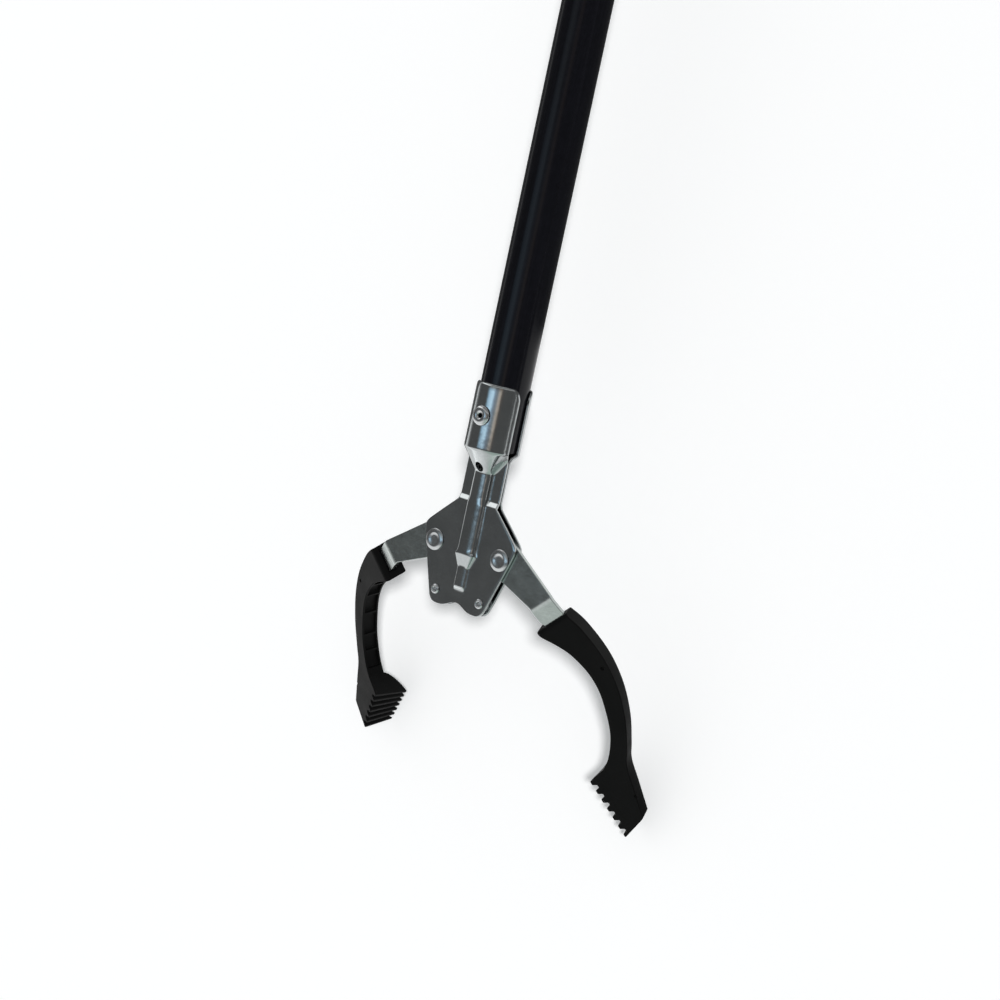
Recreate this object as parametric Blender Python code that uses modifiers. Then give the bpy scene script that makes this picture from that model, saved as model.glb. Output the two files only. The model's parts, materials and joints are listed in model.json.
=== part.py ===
"""Reacher grabber: a steel two-jaw pick-up head on a pole, closed by the trigger of a pistol grip.

Head frame, before the whole tool is stood on the floor: X across the head to the right, Y along the pole
towards the handle, Z out of the front plate, origin midway between the two jaw pivots. All sizes in metres.
"""
from math import asin, atan2, cos, hypot, pi, radians, sin, sqrt, tan

import bmesh
import bpy
from mathutils import Matrix, Vector

# Clearances
GAP = 0.0003                # between pieces that touch
SLIDE = 0.0004              # round a piece that turns or slides
OVERCUT = 0.002             # how far a cutter runs past the face it opens
WELD = 0.000001             # points closer than this are one point

# Pole
POLE_RADIUS = 0.0111
POLE_WALL = 0.0012
POLE_LENGTH = 0.600

# Stamped head plates
PLATE_THICKNESS = 0.0012
FERRULE_FOOT = 0.0454       # height of the ferrule's lower edge above the pivots
FERRULE_LENGTH = 0.0295
FERRULE_SPAN = radians(75)  # half angle that one plate wraps round the pole
SHOULDER_LENGTH = 0.0098
NECK_HALF_WIDTH = 0.0109
JOGGLE_TOP = 0.0238
JOGGLE_LENGTH = 0.0027
SIDE_MARGIN = 0.0082        # plate beyond the pivots
SIDE_HEIGHT = 0.0066
SIDE_ROUNDING = 0.0024
FOOT_MARGIN = 0.0021        # plate beyond the eyelets
FOOT_DEPTH = 0.0274
FOOT_ROUNDING = 0.0026
FOOT_ARCH_DEPTH = 0.0030
FOOT_ARCH_HALF_WIDTH = 0.0090
RIB_ROOM = 0.0006           # between the clevis and the inside of the rib
RIB_END = -0.0020
RIB_BEVEL = 0.0055
BEAD_HALF_WIDTH = 0.0030
BEAD_RISE = 0.0010
BEAD_LENGTH = 0.0100
BEAD_FADE = 0.0020
SIDE_ROWS = (1.5, 0.5, -0.5, -1.5)  # cross sections near the side corner, in corner roundings
FOOT_ROWS = (1, 0.5, 0.13, 0)       # cross sections near the foot, in foot roundings
SHOULDER_HOLE_AT = 0.0377
SHOULDER_HOLE_RADIUS = 0.0021

# Rivets of the head
PIVOT_X = 0.0188
PIVOT_SHANK = 0.0025
PIVOT_HEAD = 0.0049
PIVOT_HEAD_HEIGHT = 0.0016
EYELET_X = 0.0128
EYELET_RISE = 0.0060        # above the plate's foot
EYELET_BORE = 0.0009
EYELET_SHANK = 0.0015
EYELET_HEAD = 0.0022
EYELET_HEAD_HEIGHT = 0.0007
SLEEVE_RADIUS = 0.0030
FERRULE_RIVET_AT = 0.0604
FERRULE_RIVET_BORE = 0.0011
FERRULE_RIVET_SHANK = 0.0020
FERRULE_RIVET_HEAD = 0.0044
FERRULE_RIVET_HEAD_HEIGHT = 0.0011
FERRULE_RIVET_TAIL = 0.0014

# Profiles of rivet and screw heads, in shares of the head's radius and height
DISHED_HEAD = ((0, 0.82), (0.52, 0.82), (0.62, 1), (0.85, 0.75), (1, 0.3), (1, 0))
ROLLED_HEAD = ((0.65, 1), (1, 0.4), (1, 0))
ROLLED_LIP = 0.75           # height of a rolled head at its bore
PAN_HEAD = ((0, 1), (0.75, 0.9), (1, 0.5), (1, 0))

# Jaw arms: flat strips, then a bend about an oblique line
ARM_THICKNESS = 0.0022
ARM_BOSS = 0.0075
ARM_SHOULDER = 0.0096       # half width of the strip's upper side at the pivot
ARM_SHOULDER_TURN = radians(30)
ARM_REACH = 0.0275          # pivot to the middle of the bend line
ARM_SLOPE = radians(26.3)   # of the arm below the X axis, jaws open
BEND_LINE = radians(43.3)   # of the bend line to the X axis
BEND_ANGLE = radians(30)
BEND_RADIUS = 0.0040
BEND_HALF_WIDTH = 0.0060
TANG_LENGTH = 0.0280
TANG_HALF_WIDTH = 0.0034
TANG_OFFSET = 0.0039        # of the tang's end towards the finger's outer side
JAW_TRAVEL = radians(36.4)
LEVER_INSET = 0.0028        # inner tips to the head's mid line, at half pull
LEVER_TIP = 0.0014
LEVER_NECK = 0.0010         # half width just behind the tip
LEVER_NECK_LENGTH = 0.0022
LEVER_ROOT_HALF_ANGLE = radians(26)

# Jaw covers, outlined by reach from the bend line and by offset to the finger's outer side
COVER_WALL = 0.0030         # over each face of the arm
COVER_START = 0.0070
COVER_SKEW = 0.0005         # how much later the cover starts on the inner side
COVER_OUTER = (
    (COVER_START, 0.0082), (0.019, 0.0100), (0.035, 0.0093), (0.050, 0.0050), (0.064, -0.0025),
    (0.075, -0.0110), (0.082, -0.0168), (0.092, -0.0213), (0.1063, -0.0277),
)
COVER_INNER = (
    (0.0778, -0.0280), (0.0750, -0.0227), (0.070, -0.0170), (0.064, -0.0120), (0.055, -0.0070),
    (0.0456, -0.0031), (0.036, -0.0016), (0.026, -0.0026), (0.0193, -0.0050), (0.0127, -0.0084),
    (COVER_START + COVER_SKEW, -0.0097),
)
COVER_CORNER = (0.1070, -0.0295)
PAD_TOP = (0.0787, -0.0345)
PAD_HEEL = (0.0795, -0.0372)    # first and last ridge crest
PAD_TOE = (0.1103, -0.0418)
PAD_DEPTH = 0.0178
PAD_SPLIT = 0.45                # where along the pad's end its back starts to slope
RIDGE_COUNT = 7
RIDGE_HEIGHT = 0.0023
RIDGE_CREST = 0.40              # width of a crest, in pitches
VALLEY = (0.55, 0.85)           # both ends of a valley's floor, in pitches
CELL_COUNT = 5
CELL_FIRST = 0.022
CELL_LAST = 0.069
CELL_WALL = 0.0012
CELL_DEPTH = 0.0016
COVER_PIN_RADIUS = 0.0012
COVER_PIN_AT = (0.020, 0.0040)
COVER_PIN_RECESS = 0.0005

# Crosshead, clevis and pull rod
HORN_COVER = 0.0018         # beyond the middle of the lever's tip
HORN_LENGTH = 0.0025
NOTCH_LEAD = 0.0002         # how much wider the notch is at its mouth
TIP_CLEARANCE = 0.0002      # between the lever's tip and the notch's floor
TONGUE_HALF_WIDTH = 0.0022
TONGUE_LENGTH = 0.0067
CLEVIS_WALL = 0.0012
CLEVIS_LENGTH = 0.0140
CLEVIS_SOCKET = 0.0055
CLEVIS_PIN_RADIUS = 0.0009
ROD_RADIUS = 0.0020
ROD_TAIL = 0.0040           # beyond its cross pin

# Guide bushes and return spring
BUSH_LENGTH = 0.0090
SPRING_START = 0.0840
SPRING_LENGTH = 0.0380
SPRING_SLACK = 0.0019       # between the rod and the spring's inside
SPRING_WIRE = 0.0006
SPRING_CURLS = 9
SPRING_POINTS = 9           # along one curl
COLLAR_RIM = 0.0011         # beyond the spring
COLLAR_LENGTH = 0.0040

# Trigger at half pull, front edge down and back edge up, by offset behind its pivot and drop below the rod
TRIGGER_ARM = 0.0220        # pivot down to the pull rod
TRIGGER_BACK = 0.0320       # pivot behind the pole's end
TRIGGER_HALF_WIDTH = 0.0060
TRIGGER_BOSS = 0.0070
TRIGGER_ROUNDING = 0.0015
TRIGGER_FRONT = (
    (-0.0072, 0), (-0.0110, 0.0130), (-0.0140, 0.0215), (-0.0105, 0.0300),
    (-0.0045, 0.0385), (0.0020, 0.0465), (0.0060, 0.0530), (0.0075, 0.0575),
)
TRIGGER_REAR = (
    (0.0160, 0.0575), (0.0172, 0.0515), (0.0140, 0.0430), (0.0085, 0.0340),
    (0.0040, 0.0250), (0.0055, 0.0130), (0.0072, 0),
)
TRIGGER_TOE = (0.0118, 0.0602)
TRIGGER_PIN_RADIUS = 0.0020
TRIGGER_PIN_BITE = 0.0050   # in each shell
CROSS_PIN_RADIUS = 0.0009
CROSS_PIN_RECESS = 0.0005   # of its ends in the trigger's sides

# Handle shells, outlined from the pole's end
HANDLE_WALL = 0.0049        # at the sides of the pole
HANDLE_ROUNDING = 0.0045
HANDLE_GRASP = 0.0500       # length of pole inside the handle
HANDLE_TOP = ((-HANDLE_GRASP, 0.0039), (-0.0080, 0.0059))    # height over the pole
HANDLE_BROW = ((-0.0180, 0.0050), (0, 0.0120), (0.0170, 0.0070))    # from the trigger's pivot
HANDLE_BELLY = (    # depth under the pole
    (0.0020, 0.0064), (-0.0090, 0.0094), (-0.0230, 0.0129), (-0.0420, 0.0111), (-HANDLE_GRASP, 0.0039),
)
GRIP_RAKE = radians(40)
GRIP_SPACE = 0.0440         # from the trigger's pivot to where the grip's back crosses GRIP_BACK_Z
GRIP_BACK_Z = 0.0020
GRIP_THICKNESS = 0.0340
GRIP_SHOULDER = -0.0240     # height at which the grip's underside leaves the housing
GRIP_ROUND = 0.0060         # how far before the straight back the brow's curve ends
GRIP_HEEL = 0.0140          # height of the square end above the flat butt
GRIP_WALL = 0.0045
WELL_BEFORE = 0.0270        # trigger well on both sides of the pivot
WELL_BEHIND = 0.0170
GUIDE_SLACK = 0.0014        # round the rod in the shells
SCREW_SHANK = 0.0015
SCREW_HEAD = 0.0028
SCREW_HEAD_HEIGHT = 0.0018
SCREW_SINK = 0.0024
SCREW_BITE = 0.0080         # depth in the far shell
FRONT_SCREW = (-0.0270, 0.0064)     # depth under the pole
BROW_SCREW = (0.0275, 0.0060)       # offset from the trigger's pivot, height over the rod
GRIP_SCREW_HEIGHTS = (-0.0350, -0.0575)
POCKET_HEIGHTS = ((-0.0100, -0.0270), (-0.0430, -0.0505))

# Facets
POLE_SIDES = 40
RIVET_SIDES = 20
PIN_SIDES = 14
HOLE_SIDES = 20
ARC_STEPS = 6
SPLINE_STEPS = 3
RIB_STEPS = 6
FLANGE_STEPS = 3
BEND_STEPS = 3
ROUNDING_STEPS = 2
FLAT_ANGLE = radians(0.06)      # faces that turn less than this are one flat
SHARP_ANGLE = radians(40)
RIM_ANGLE = radians(57)         # least turn at the edge of a flat side

# Worked out from the sizes above
SIDE_HALF_WIDTH = PIVOT_X + SIDE_MARGIN
FOOT_HALF_WIDTH = EYELET_X + FOOT_MARGIN
EYELET_Y = EYELET_RISE - FOOT_DEPTH
LEVER = PIVOT_X - LEVER_INSET
CLEVIS_RADIUS = ROD_RADIUS + CLEVIS_WALL
RIB_TOP = CLEVIS_RADIUS + RIB_ROOM + PLATE_THICKNESS    # above the head's mid plane
RIB_HALF_WIDTH = RIB_TOP
COVER_DEPTH = ARM_THICKNESS + 2 * COVER_WALL
SPRING_RADIUS = ROD_RADIUS + SPRING_SLACK + SPRING_WIRE
COLLAR_RADIUS = SPRING_RADIUS + SPRING_WIRE + COLLAR_RIM
WEB_HALF_WIDTH = LEVER_INSET - LEVER_TIP - TIP_CLEARANCE
HORN_HALF_WIDTH = LEVER_INSET + HORN_COVER
HANDLE_HALF_WIDTH = POLE_RADIUS + HANDLE_WALL
GRIP_BACK = TRIGGER_BACK + GRIP_SPACE
WELL_REAR = TRIGGER_BACK + WELL_BEHIND
PLATE_INSIDE = ARM_THICKNESS / 2 + GAP
PLATE_FACE = PLATE_INSIDE + PLATE_THICKNESS
FLANGE_FACE = GAP / 2 + PLATE_THICKNESS
FERRULE_RADIUS = POLE_RADIUS + GAP + PLATE_THICKNESS
FERRULE_TOP = FERRULE_FOOT + FERRULE_LENGTH
PLATE_TOP = JOGGLE_TOP - JOGGLE_LENGTH
BEAD_TOP = RIB_END - RIB_BEVEL
BEAD_END = BEAD_TOP - BEAD_LENGTH
POLE_START = FERRULE_FOOT + 2 * SLIDE
POLE_END = POLE_START + POLE_LENGTH
POLE_BORE = POLE_RADIUS - POLE_WALL
REACH = Vector((sin(BEND_LINE), -cos(BEND_LINE), 0))
OUTWARD = Vector((cos(BEND_LINE), sin(BEND_LINE), 0))
PIVOT = Vector((PIVOT_X, 0, 0))
BEND_CENTRE = PIVOT + ARM_REACH * Vector((cos(ARM_SLOPE), -sin(ARM_SLOPE), 0))
BEND_ARC = BEND_RADIUS * BEND_ANGLE
LEVER_OPEN = JAW_TRAVEL / 2
CROSSHEAD_Y = -LEVER * sin(LEVER_OPEN)
ROD_TRAVEL = -2 * CROSSHEAD_Y
TRIGGER_HALF_TRAVEL = asin(ROD_TRAVEL / 2 / hypot(ROD_TRAVEL / 2, TRIGGER_ARM))
NOTCH_HALF_HEIGHT = LEVER_TIP + SLIDE
CLEVIS_FOOT = CROSSHEAD_Y + NOTCH_HALF_HEIGHT + HORN_LENGTH + GAP
CLEVIS_TOP = CLEVIS_FOOT + CLEVIS_LENGTH
CLEVIS_PIN_Y = CLEVIS_FOOT + TONGUE_LENGTH / 2
TRIGGER_PIVOT = Vector((0, POLE_END + TRIGGER_BACK, TRIGGER_ARM))
CROSS_PIN_Y = TRIGGER_PIVOT.y - ROD_TRAVEL / 2

# Finishes: colour, roughness, metallic
ZINC = ((0.62, 0.63, 0.64), 0.28, 1.0)
STEEL = ((0.50, 0.51, 0.52), 0.35, 1.0)
BLACK_ENAMEL = ((0.012, 0.012, 0.018), 0.18, 0.0)
BLACK_RUBBER = ((0.018, 0.018, 0.019), 0.55, 0.0)
BLACK_PLASTIC = ((0.025, 0.025, 0.027), 0.45, 0.0)
GREY_PLASTIC = ((0.12, 0.12, 0.125), 0.45, 0.0)
PALE_PLASTIC = ((0.75, 0.74, 0.70), 0.40, 0.0)

# Turns an outline in the XY plane into one in the YZ plane, extruded along X
SIDEWAYS = Matrix(((0, 0, 1, 0), (1, 0, 0, 0), (0, 1, 0, 0), (0, 0, 0, 1)))
ALONG_X = Matrix.Rotation(pi / 2, 4, "Y")
ALONG_Y = Matrix.Rotation(-pi / 2, 4, "X")
ALONG_Z = Matrix.Identity(4)


def make_collection(name):
    collection = bpy.data.collections.new(name)
    bpy.context.scene.collection.children.link(collection)
    return collection


for leftover in list(bpy.data.objects):
    bpy.data.objects.remove(leftover)
PARTS = make_collection("reacher_grabber")
CUTTERS = make_collection("cutters")


# Helpers for objects

def carrier(name, location=(0, 0, 0), parent=None):
    """An empty that a group of pieces hangs on, at the group's joint."""
    empty = bpy.data.objects.new(name, None)
    empty.location = location
    empty.parent = parent
    PARTS.objects.link(empty)
    return empty


def add_part(name, mesh, finish, holder):
    """A named piece, modelled in the head frame, hung on an empty with a finish of its own."""
    colour, roughness, metallic = finish
    material = bpy.data.materials.new(name + "_finish")
    material.use_nodes = True
    shader = material.node_tree.nodes["Principled BSDF"]
    shader.inputs["Base Color"].default_value = (*colour, 1)
    shader.inputs["Roughness"].default_value = roughness
    shader.inputs["Metallic"].default_value = metallic
    mesh.materials.clear()
    mesh.materials.append(material)
    part = bpy.data.objects.new(name, mesh)
    part.parent = holder
    part.location = -holder.location
    PARTS.objects.link(part)
    return part


def add_cutter(name, mesh):
    tool = bpy.data.objects.new(name, mesh)
    tool.hide_render = True
    tool.display_type = "WIRE"
    CUTTERS.objects.link(tool)
    return tool


def cut(part, name, mesh):
    """Cut a mesh out of a piece."""
    modifier = part.modifiers.new(name, "BOOLEAN")
    modifier.operation = "DIFFERENCE"
    modifier.solver = "EXACT"
    modifier.object = add_cutter(part.name + "_" + name, mesh)


def evaluated_mesh(part):
    """The mesh of a piece with its modifiers worked out, in the head frame."""
    bpy.context.view_layer.update()
    graph = bpy.context.evaluated_depsgraph_get()
    mesh = bpy.data.meshes.new_from_object(part.evaluated_get(graph))
    mesh.transform(part.matrix_world)
    return mesh


def reflected(mesh, normal):
    """A mirror image of a mesh in the plane through the origin with this normal."""
    image = mesh.copy()
    image.transform(Matrix.Scale(-1, 4, normal))
    image.flip_normals()
    return image


# Helpers for shapes

def edit_mesh(name, work):
    """Run a function on a new bmesh and return the finished mesh, its faces pointing out."""
    shape = bmesh.new()
    work(shape)
    bmesh.ops.recalc_face_normals(shape, faces=shape.faces)
    mesh = bpy.data.meshes.new(name)
    shape.to_mesh(mesh)
    shape.free()
    return mesh


def smooth(points, steps=SPLINE_STEPS):
    """Points on a curve that passes through all the given ones."""
    ends = [points[0], *points, points[-1]]
    curve = []
    for a, b, c, d in zip(ends, ends[1:], ends[2:], ends[3:]):
        for step in range(steps):
            t = step / steps
            weights = (
                (-t + 2 * t ** 2 - t ** 3) / 2, (2 - 5 * t ** 2 + 3 * t ** 3) / 2,
                (t + 4 * t ** 2 - 3 * t ** 3) / 2, (t ** 3 - t ** 2) / 2,
            )
            curve.append(tuple(sum(w * p[i] for w, p in zip(weights, (a, b, c, d))) for i in (0, 1)))
    return curve + [tuple(points[-1])]


def arc(centre, radius, start, end, steps=ARC_STEPS):
    angles = [start + (end - start) * step / steps for step in range(steps + 1)]
    return [(centre[0] + radius * cos(a), centre[1] + radius * sin(a)) for a in angles]


def curve_mesh(curve, points, cyclic):
    """The solid that a curve through some points makes, its seams welded and its flats joined."""
    spline = curve.splines.new("POLY")
    spline.points.add(len(points) - 1)
    spline.use_cyclic_u = cyclic
    for knot, point in zip(spline.points, points):
        knot.co = (*point, 1)
    line = bpy.data.objects.new(curve.name, curve)
    CUTTERS.objects.link(line)
    mesh = evaluated_mesh(line)
    bpy.data.objects.remove(line)
    shape = bmesh.new()
    shape.from_mesh(mesh)
    bmesh.ops.remove_doubles(shape, verts=shape.verts, dist=WELD)
    bmesh.ops.dissolve_limit(shape, angle_limit=FLAT_ANGLE, verts=shape.verts, edges=shape.edges)
    bmesh.ops.recalc_face_normals(shape, faces=shape.faces)
    shape.to_mesh(mesh)
    shape.free()
    return mesh


def slab(name, points, low, high):
    """A flat outline in XY, filled and extruded from one height to another."""
    curve = bpy.data.curves.new(name, "CURVE")
    curve.dimensions = "2D"
    curve.fill_mode = "BOTH"
    curve.extrude = (high - low) / 2
    mesh = curve_mesh(curve, [(x, y, 0) for x, y in points], True)
    mesh.transform(Matrix.Translation((0, 0, (low + high) / 2)))
    return mesh


def box(name, low, high):
    def work(shape):
        bmesh.ops.create_cube(shape, size=1)
        for vertex in shape.verts:
            vertex.co = [a + (b - a) * (c + 0.5) for a, b, c in zip(low, high, vertex.co)]
    return edit_mesh(name, work)


def rod_mesh(name, radius, centre, along, low, high, sides=HOLE_SIDES):
    """A round bar about a line through a centre, from one place along it to another."""
    def work(shape):
        bmesh.ops.create_cone(
            shape, cap_ends=True, segments=sides, radius1=radius, radius2=radius, depth=high - low)
    mesh = edit_mesh(name, work)
    mesh.transform(Matrix.Translation(centre) @ along @ Matrix.Translation((0, 0, (low + high) / 2)))
    return mesh


def turned_mesh(name, profile, centre, along, sides=RIVET_SIDES, ring=False):
    """A profile of radius and height, listed down its outer side, turned about its axis."""
    count = len(profile)
    edges = [(i, (i + 1) % count) for i in range(count if ring else count - 1)]
    mesh = bpy.data.meshes.new(name)
    mesh.from_pydata([(radius, 0, height) for radius, height in profile], edges, [])
    turned = bpy.data.objects.new(name, mesh)
    CUTTERS.objects.link(turned)
    screw = turned.modifiers.new("turn", "SCREW")
    screw.steps = sides
    screw.render_steps = sides
    screw.use_merge_vertices = True
    screw.merge_threshold = WELD
    solid = evaluated_mesh(turned)
    bpy.data.objects.remove(turned)
    solid.transform(Matrix.Translation(centre) @ along)
    solid.shade_smooth()
    solid.set_sharp_from_angle(angle=SHARP_ANGLE)
    return solid


def soften(mesh, rounding, chosen):
    """Round the edges of a mesh that a test picks."""
    shape = bmesh.new()
    shape.from_mesh(mesh)
    edges = [edge for edge in shape.edges if chosen(edge)]
    bmesh.ops.bevel(
        shape, geom=edges, offset=rounding, segments=ROUNDING_STEPS, profile=0.5, affect="EDGES",
        clamp_overlap=True)
    shape.to_mesh(mesh)
    shape.free()
    return mesh


# Head plates

def side_width(y):
    """Half width of the five-sided plate, its side corner rounded."""
    upper_slope = (SIDE_HALF_WIDTH - NECK_HALF_WIDTH) / (PLATE_TOP - SIDE_HEIGHT)
    lower_slope = (SIDE_HALF_WIDTH - FOOT_HALF_WIDTH) / (SIDE_HEIGHT + FOOT_DEPTH)
    upper = SIDE_HALF_WIDTH - (y - SIDE_HEIGHT) * upper_slope
    lower = SIDE_HALF_WIDTH - (SIDE_HEIGHT - y) * lower_slope
    width = (upper + lower - sqrt((upper - lower) ** 2 + SIDE_ROUNDING ** 2)) / 2
    inside = max(0, FOOT_ROUNDING - (y + FOOT_DEPTH))
    return width - FOOT_ROUNDING + sqrt(FOOT_ROUNDING ** 2 - inside ** 2)


def rib_size(y):
    """Half width and top of the pressed rib, its bevelled end and the narrow bead below it."""
    bead = (BEAD_HALF_WIDTH, PLATE_FACE + BEAD_RISE)
    if y >= RIB_END:
        return RIB_HALF_WIDTH, RIB_TOP
    if y >= BEAD_TOP:
        t = (RIB_END - y) / RIB_BEVEL
        return RIB_HALF_WIDTH + (bead[0] - RIB_HALF_WIDTH) * t, RIB_TOP + (bead[1] - RIB_TOP) * t
    fade = min(1, max(0, (BEAD_END - y) / BEAD_FADE))
    return bead[0], bead[1] - BEAD_RISE * fade


def stamped_half(width, rib_width, rib_top, flange):
    """Half a cross section from the centreline out: a rounded rib, then a flat flange."""
    turns = [pi / 2 * step / RIB_STEPS for step in range(RIB_STEPS + 1)]
    rib = [(rib_width * sin(a), flange + (rib_top - flange) * cos(a)) for a in turns]
    strides = [(step + 1) / FLANGE_STEPS for step in range(FLANGE_STEPS)]
    return rib + [(rib_width + (width - rib_width) * t, flange) for t in strides]


def ferrule_half():
    steps = RIB_STEPS + FLANGE_STEPS
    turns = [FERRULE_SPAN * step / steps for step in range(steps + 1)]
    return [(FERRULE_RADIUS * sin(a), FERRULE_RADIUS * cos(a)) for a in turns]


def foot_line(x):
    """Lower edge of the plate, arched in its middle."""
    turn = min(1, abs(x) / FOOT_ARCH_HALF_WIDTH) * pi / 2
    return -FOOT_DEPTH + FOOT_ARCH_DEPTH * cos(turn) ** 2


def plate_rows():
    """Cross sections of the front plate's outer face, from the ferrule's rim to the foot."""
    ferrule = ferrule_half()
    neck = stamped_half(NECK_HALF_WIDTH, RIB_HALF_WIDTH, RIB_TOP, FLANGE_FACE)
    rows = [[(x, FERRULE_TOP, z) for x, z in ferrule], [(x, FERRULE_FOOT, z) for x, z in ferrule]]
    for t in (0.5, 1):
        rows.append([
            (a[0] + (b[0] - a[0]) * t, FERRULE_FOOT - SHOULDER_LENGTH * t, a[1] + (b[1] - a[1]) * t)
            for a, b in zip(ferrule, neck)])
    rows.append([(x, JOGGLE_TOP, z) for x, z in neck])
    near_side = [SIDE_HEIGHT + SIDE_ROUNDING * k for k in SIDE_ROWS]
    heights = [PLATE_TOP, *near_side, RIB_END, BEAD_TOP, BEAD_END, BEAD_END - BEAD_FADE]
    for y in heights:
        half = stamped_half(side_width(y), *rib_size(y), PLATE_FACE)
        rows.append([(x, y, z) for x, z in half])
    last = heights[-1]
    for y in [FOOT_ROUNDING * k - FOOT_DEPTH for k in FOOT_ROWS]:
        half = stamped_half(side_width(y), *rib_size(y), PLATE_FACE)
        drop = (last - y) / (last + FOOT_DEPTH)
        rows.append([(x, last + (foot_line(x) - last) * drop, z) for x, z in half])
    return rows


def head_plate_mesh():
    def work(shape):
        grid = []
        for row in plate_rows():
            whole = [(-x, y, z) for x, y, z in reversed(row[1:])] + row
            grid.append([shape.verts.new(point) for point in whole])
        for upper, lower in zip(grid, grid[1:]):
            for i in range(len(upper) - 1):
                shape.faces.new((upper[i], lower[i], lower[i + 1], upper[i + 1]))
    return edit_mesh("head_plate", work)


def head_plates(frame):
    mesh = head_plate_mesh()
    front = add_part("front_head_plate", mesh, ZINC, frame)
    shell = front.modifiers.new("sheet", "SOLIDIFY")
    shell.thickness = PLATE_THICKNESS
    shell.offset = -1 if mesh.polygons[0].normal.z > 0 else 1
    shell.use_even_offset = True
    reach = FERRULE_RADIUS + OVERCUT
    holes = [
        ("left_pivot", PIVOT_SHANK + GAP, -PIVOT_X, 0), ("right_pivot", PIVOT_SHANK + GAP, PIVOT_X, 0),
        ("left_eyelet", EYELET_SHANK + GAP, -EYELET_X, EYELET_Y),
        ("right_eyelet", EYELET_SHANK + GAP, EYELET_X, EYELET_Y),
        ("ferrule", FERRULE_RIVET_SHANK + GAP, 0, FERRULE_RIVET_AT),
        ("shoulder", SHOULDER_HOLE_RADIUS, 0, SHOULDER_HOLE_AT),
    ]
    for name, radius, x, y in holes:
        cut(front, name, rod_mesh(name, radius, (x, y, 0), ALONG_Z, 0, reach, PIN_SIDES))
    add_part("rear_head_plate", reflected(evaluated_mesh(front), (0, 0, 1)), ZINC, frame)


def head_profile(shares, radius, height, seat):
    return [(a * radius, seat + b * height) for a, b in shares]


def rolled_profile(bore, radius, height, seat):
    """A head rolled outwards round a bore."""
    return [(bore, seat + ROLLED_LIP * height)] + head_profile(ROLLED_HEAD, radius, height, seat)


def both_ends(upper):
    """A profile that is the same at its lower end."""
    return upper + [(radius, -z) for radius, z in reversed(upper)]


def ferrule_rivet_mesh(name):
    """A blind rivet through one half of the ferrule and the pole's wall."""
    seat = FERRULE_RADIUS + GAP
    tail = POLE_BORE - GAP
    profile = rolled_profile(FERRULE_RIVET_BORE, FERRULE_RIVET_HEAD, FERRULE_RIVET_HEAD_HEIGHT, seat)
    profile += [
        (FERRULE_RIVET_SHANK, seat), (FERRULE_RIVET_SHANK, tail), (FERRULE_RIVET_SHANK + GAP, tail - GAP),
        (FERRULE_RIVET_SHANK, tail - FERRULE_RIVET_TAIL), (FERRULE_RIVET_BORE, tail - FERRULE_RIVET_TAIL),
    ]
    return turned_mesh(name, profile, (0, FERRULE_RIVET_AT, 0), ALONG_Z, ring=True)


def head_rivets(frame):
    seat = PLATE_FACE + GAP
    for side, sign in (("left", -1), ("right", 1)):
        upper = head_profile(DISHED_HEAD, PIVOT_HEAD, PIVOT_HEAD_HEIGHT, seat) + [(PIVOT_SHANK, seat)]
        mesh = turned_mesh("pivot", both_ends(upper), (sign * PIVOT_X, 0, 0), ALONG_Z)
        add_part(side + "_pivot_rivet", mesh, ZINC, frame)
        place = (sign * EYELET_X, EYELET_Y, 0)
        upper = rolled_profile(EYELET_BORE, EYELET_HEAD, EYELET_HEAD_HEIGHT, seat) + [(EYELET_SHANK, seat)]
        eyelet = turned_mesh("eyelet", both_ends(upper), place, ALONG_Z, ring=True)
        add_part(side + "_eyelet", eyelet, ZINC, frame)
        height = PLATE_INSIDE - GAP
        upper = [(EYELET_SHANK + GAP, height), (SLEEVE_RADIUS, height)]
        sleeve = turned_mesh("sleeve", both_ends(upper), place, ALONG_Z, ring=True)
        add_part(side + "_spacer_sleeve", sleeve, STEEL, frame)
    front = ferrule_rivet_mesh("ferrule_rivet")
    rear = reflected(front, (0, 0, 1))
    add_part("front_ferrule_rivet", front, ZINC, frame)
    add_part("rear_ferrule_rivet", rear, ZINC, frame)


# Jaws

def on_blank(reach, outward):
    """A point of the flat finger, before the bend, in the plane of the head."""
    point = BEND_CENTRE + reach * REACH + outward * OUTWARD
    return point.x, point.y


def bend(mesh):
    """Roll everything beyond the bend line back about it."""
    for vertex in mesh.vertices:
        offset = vertex.co - BEND_CENTRE
        reach = offset.dot(REACH)
        if reach <= 0:
            continue
        turn = min(reach / BEND_RADIUS, BEND_ANGLE)
        straight = max(0, reach - BEND_ARC)
        radius = BEND_RADIUS + offset.z
        along = radius * sin(turn) + straight * cos(turn)
        height = radius * cos(turn) - BEND_RADIUS - straight * sin(turn)
        vertex.co = BEND_CENTRE + along * REACH + offset.dot(OUTWARD) * OUTWARD + height * Vector((0, 0, 1))
    return mesh


def tang_outline(clearance, start):
    """The bent end of the arm, from a reach near the bend line to its tip, grown by a clearance."""
    near = BEND_HALF_WIDTH + clearance
    end = TANG_LENGTH + clearance
    far = TANG_HALF_WIDTH + clearance
    return [
        on_blank(start, -near), on_blank(COVER_START, -near), on_blank(end, TANG_OFFSET - far),
        on_blank(end, TANG_OFFSET + far), on_blank(COVER_START, near), on_blank(start, near),
    ]


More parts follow.
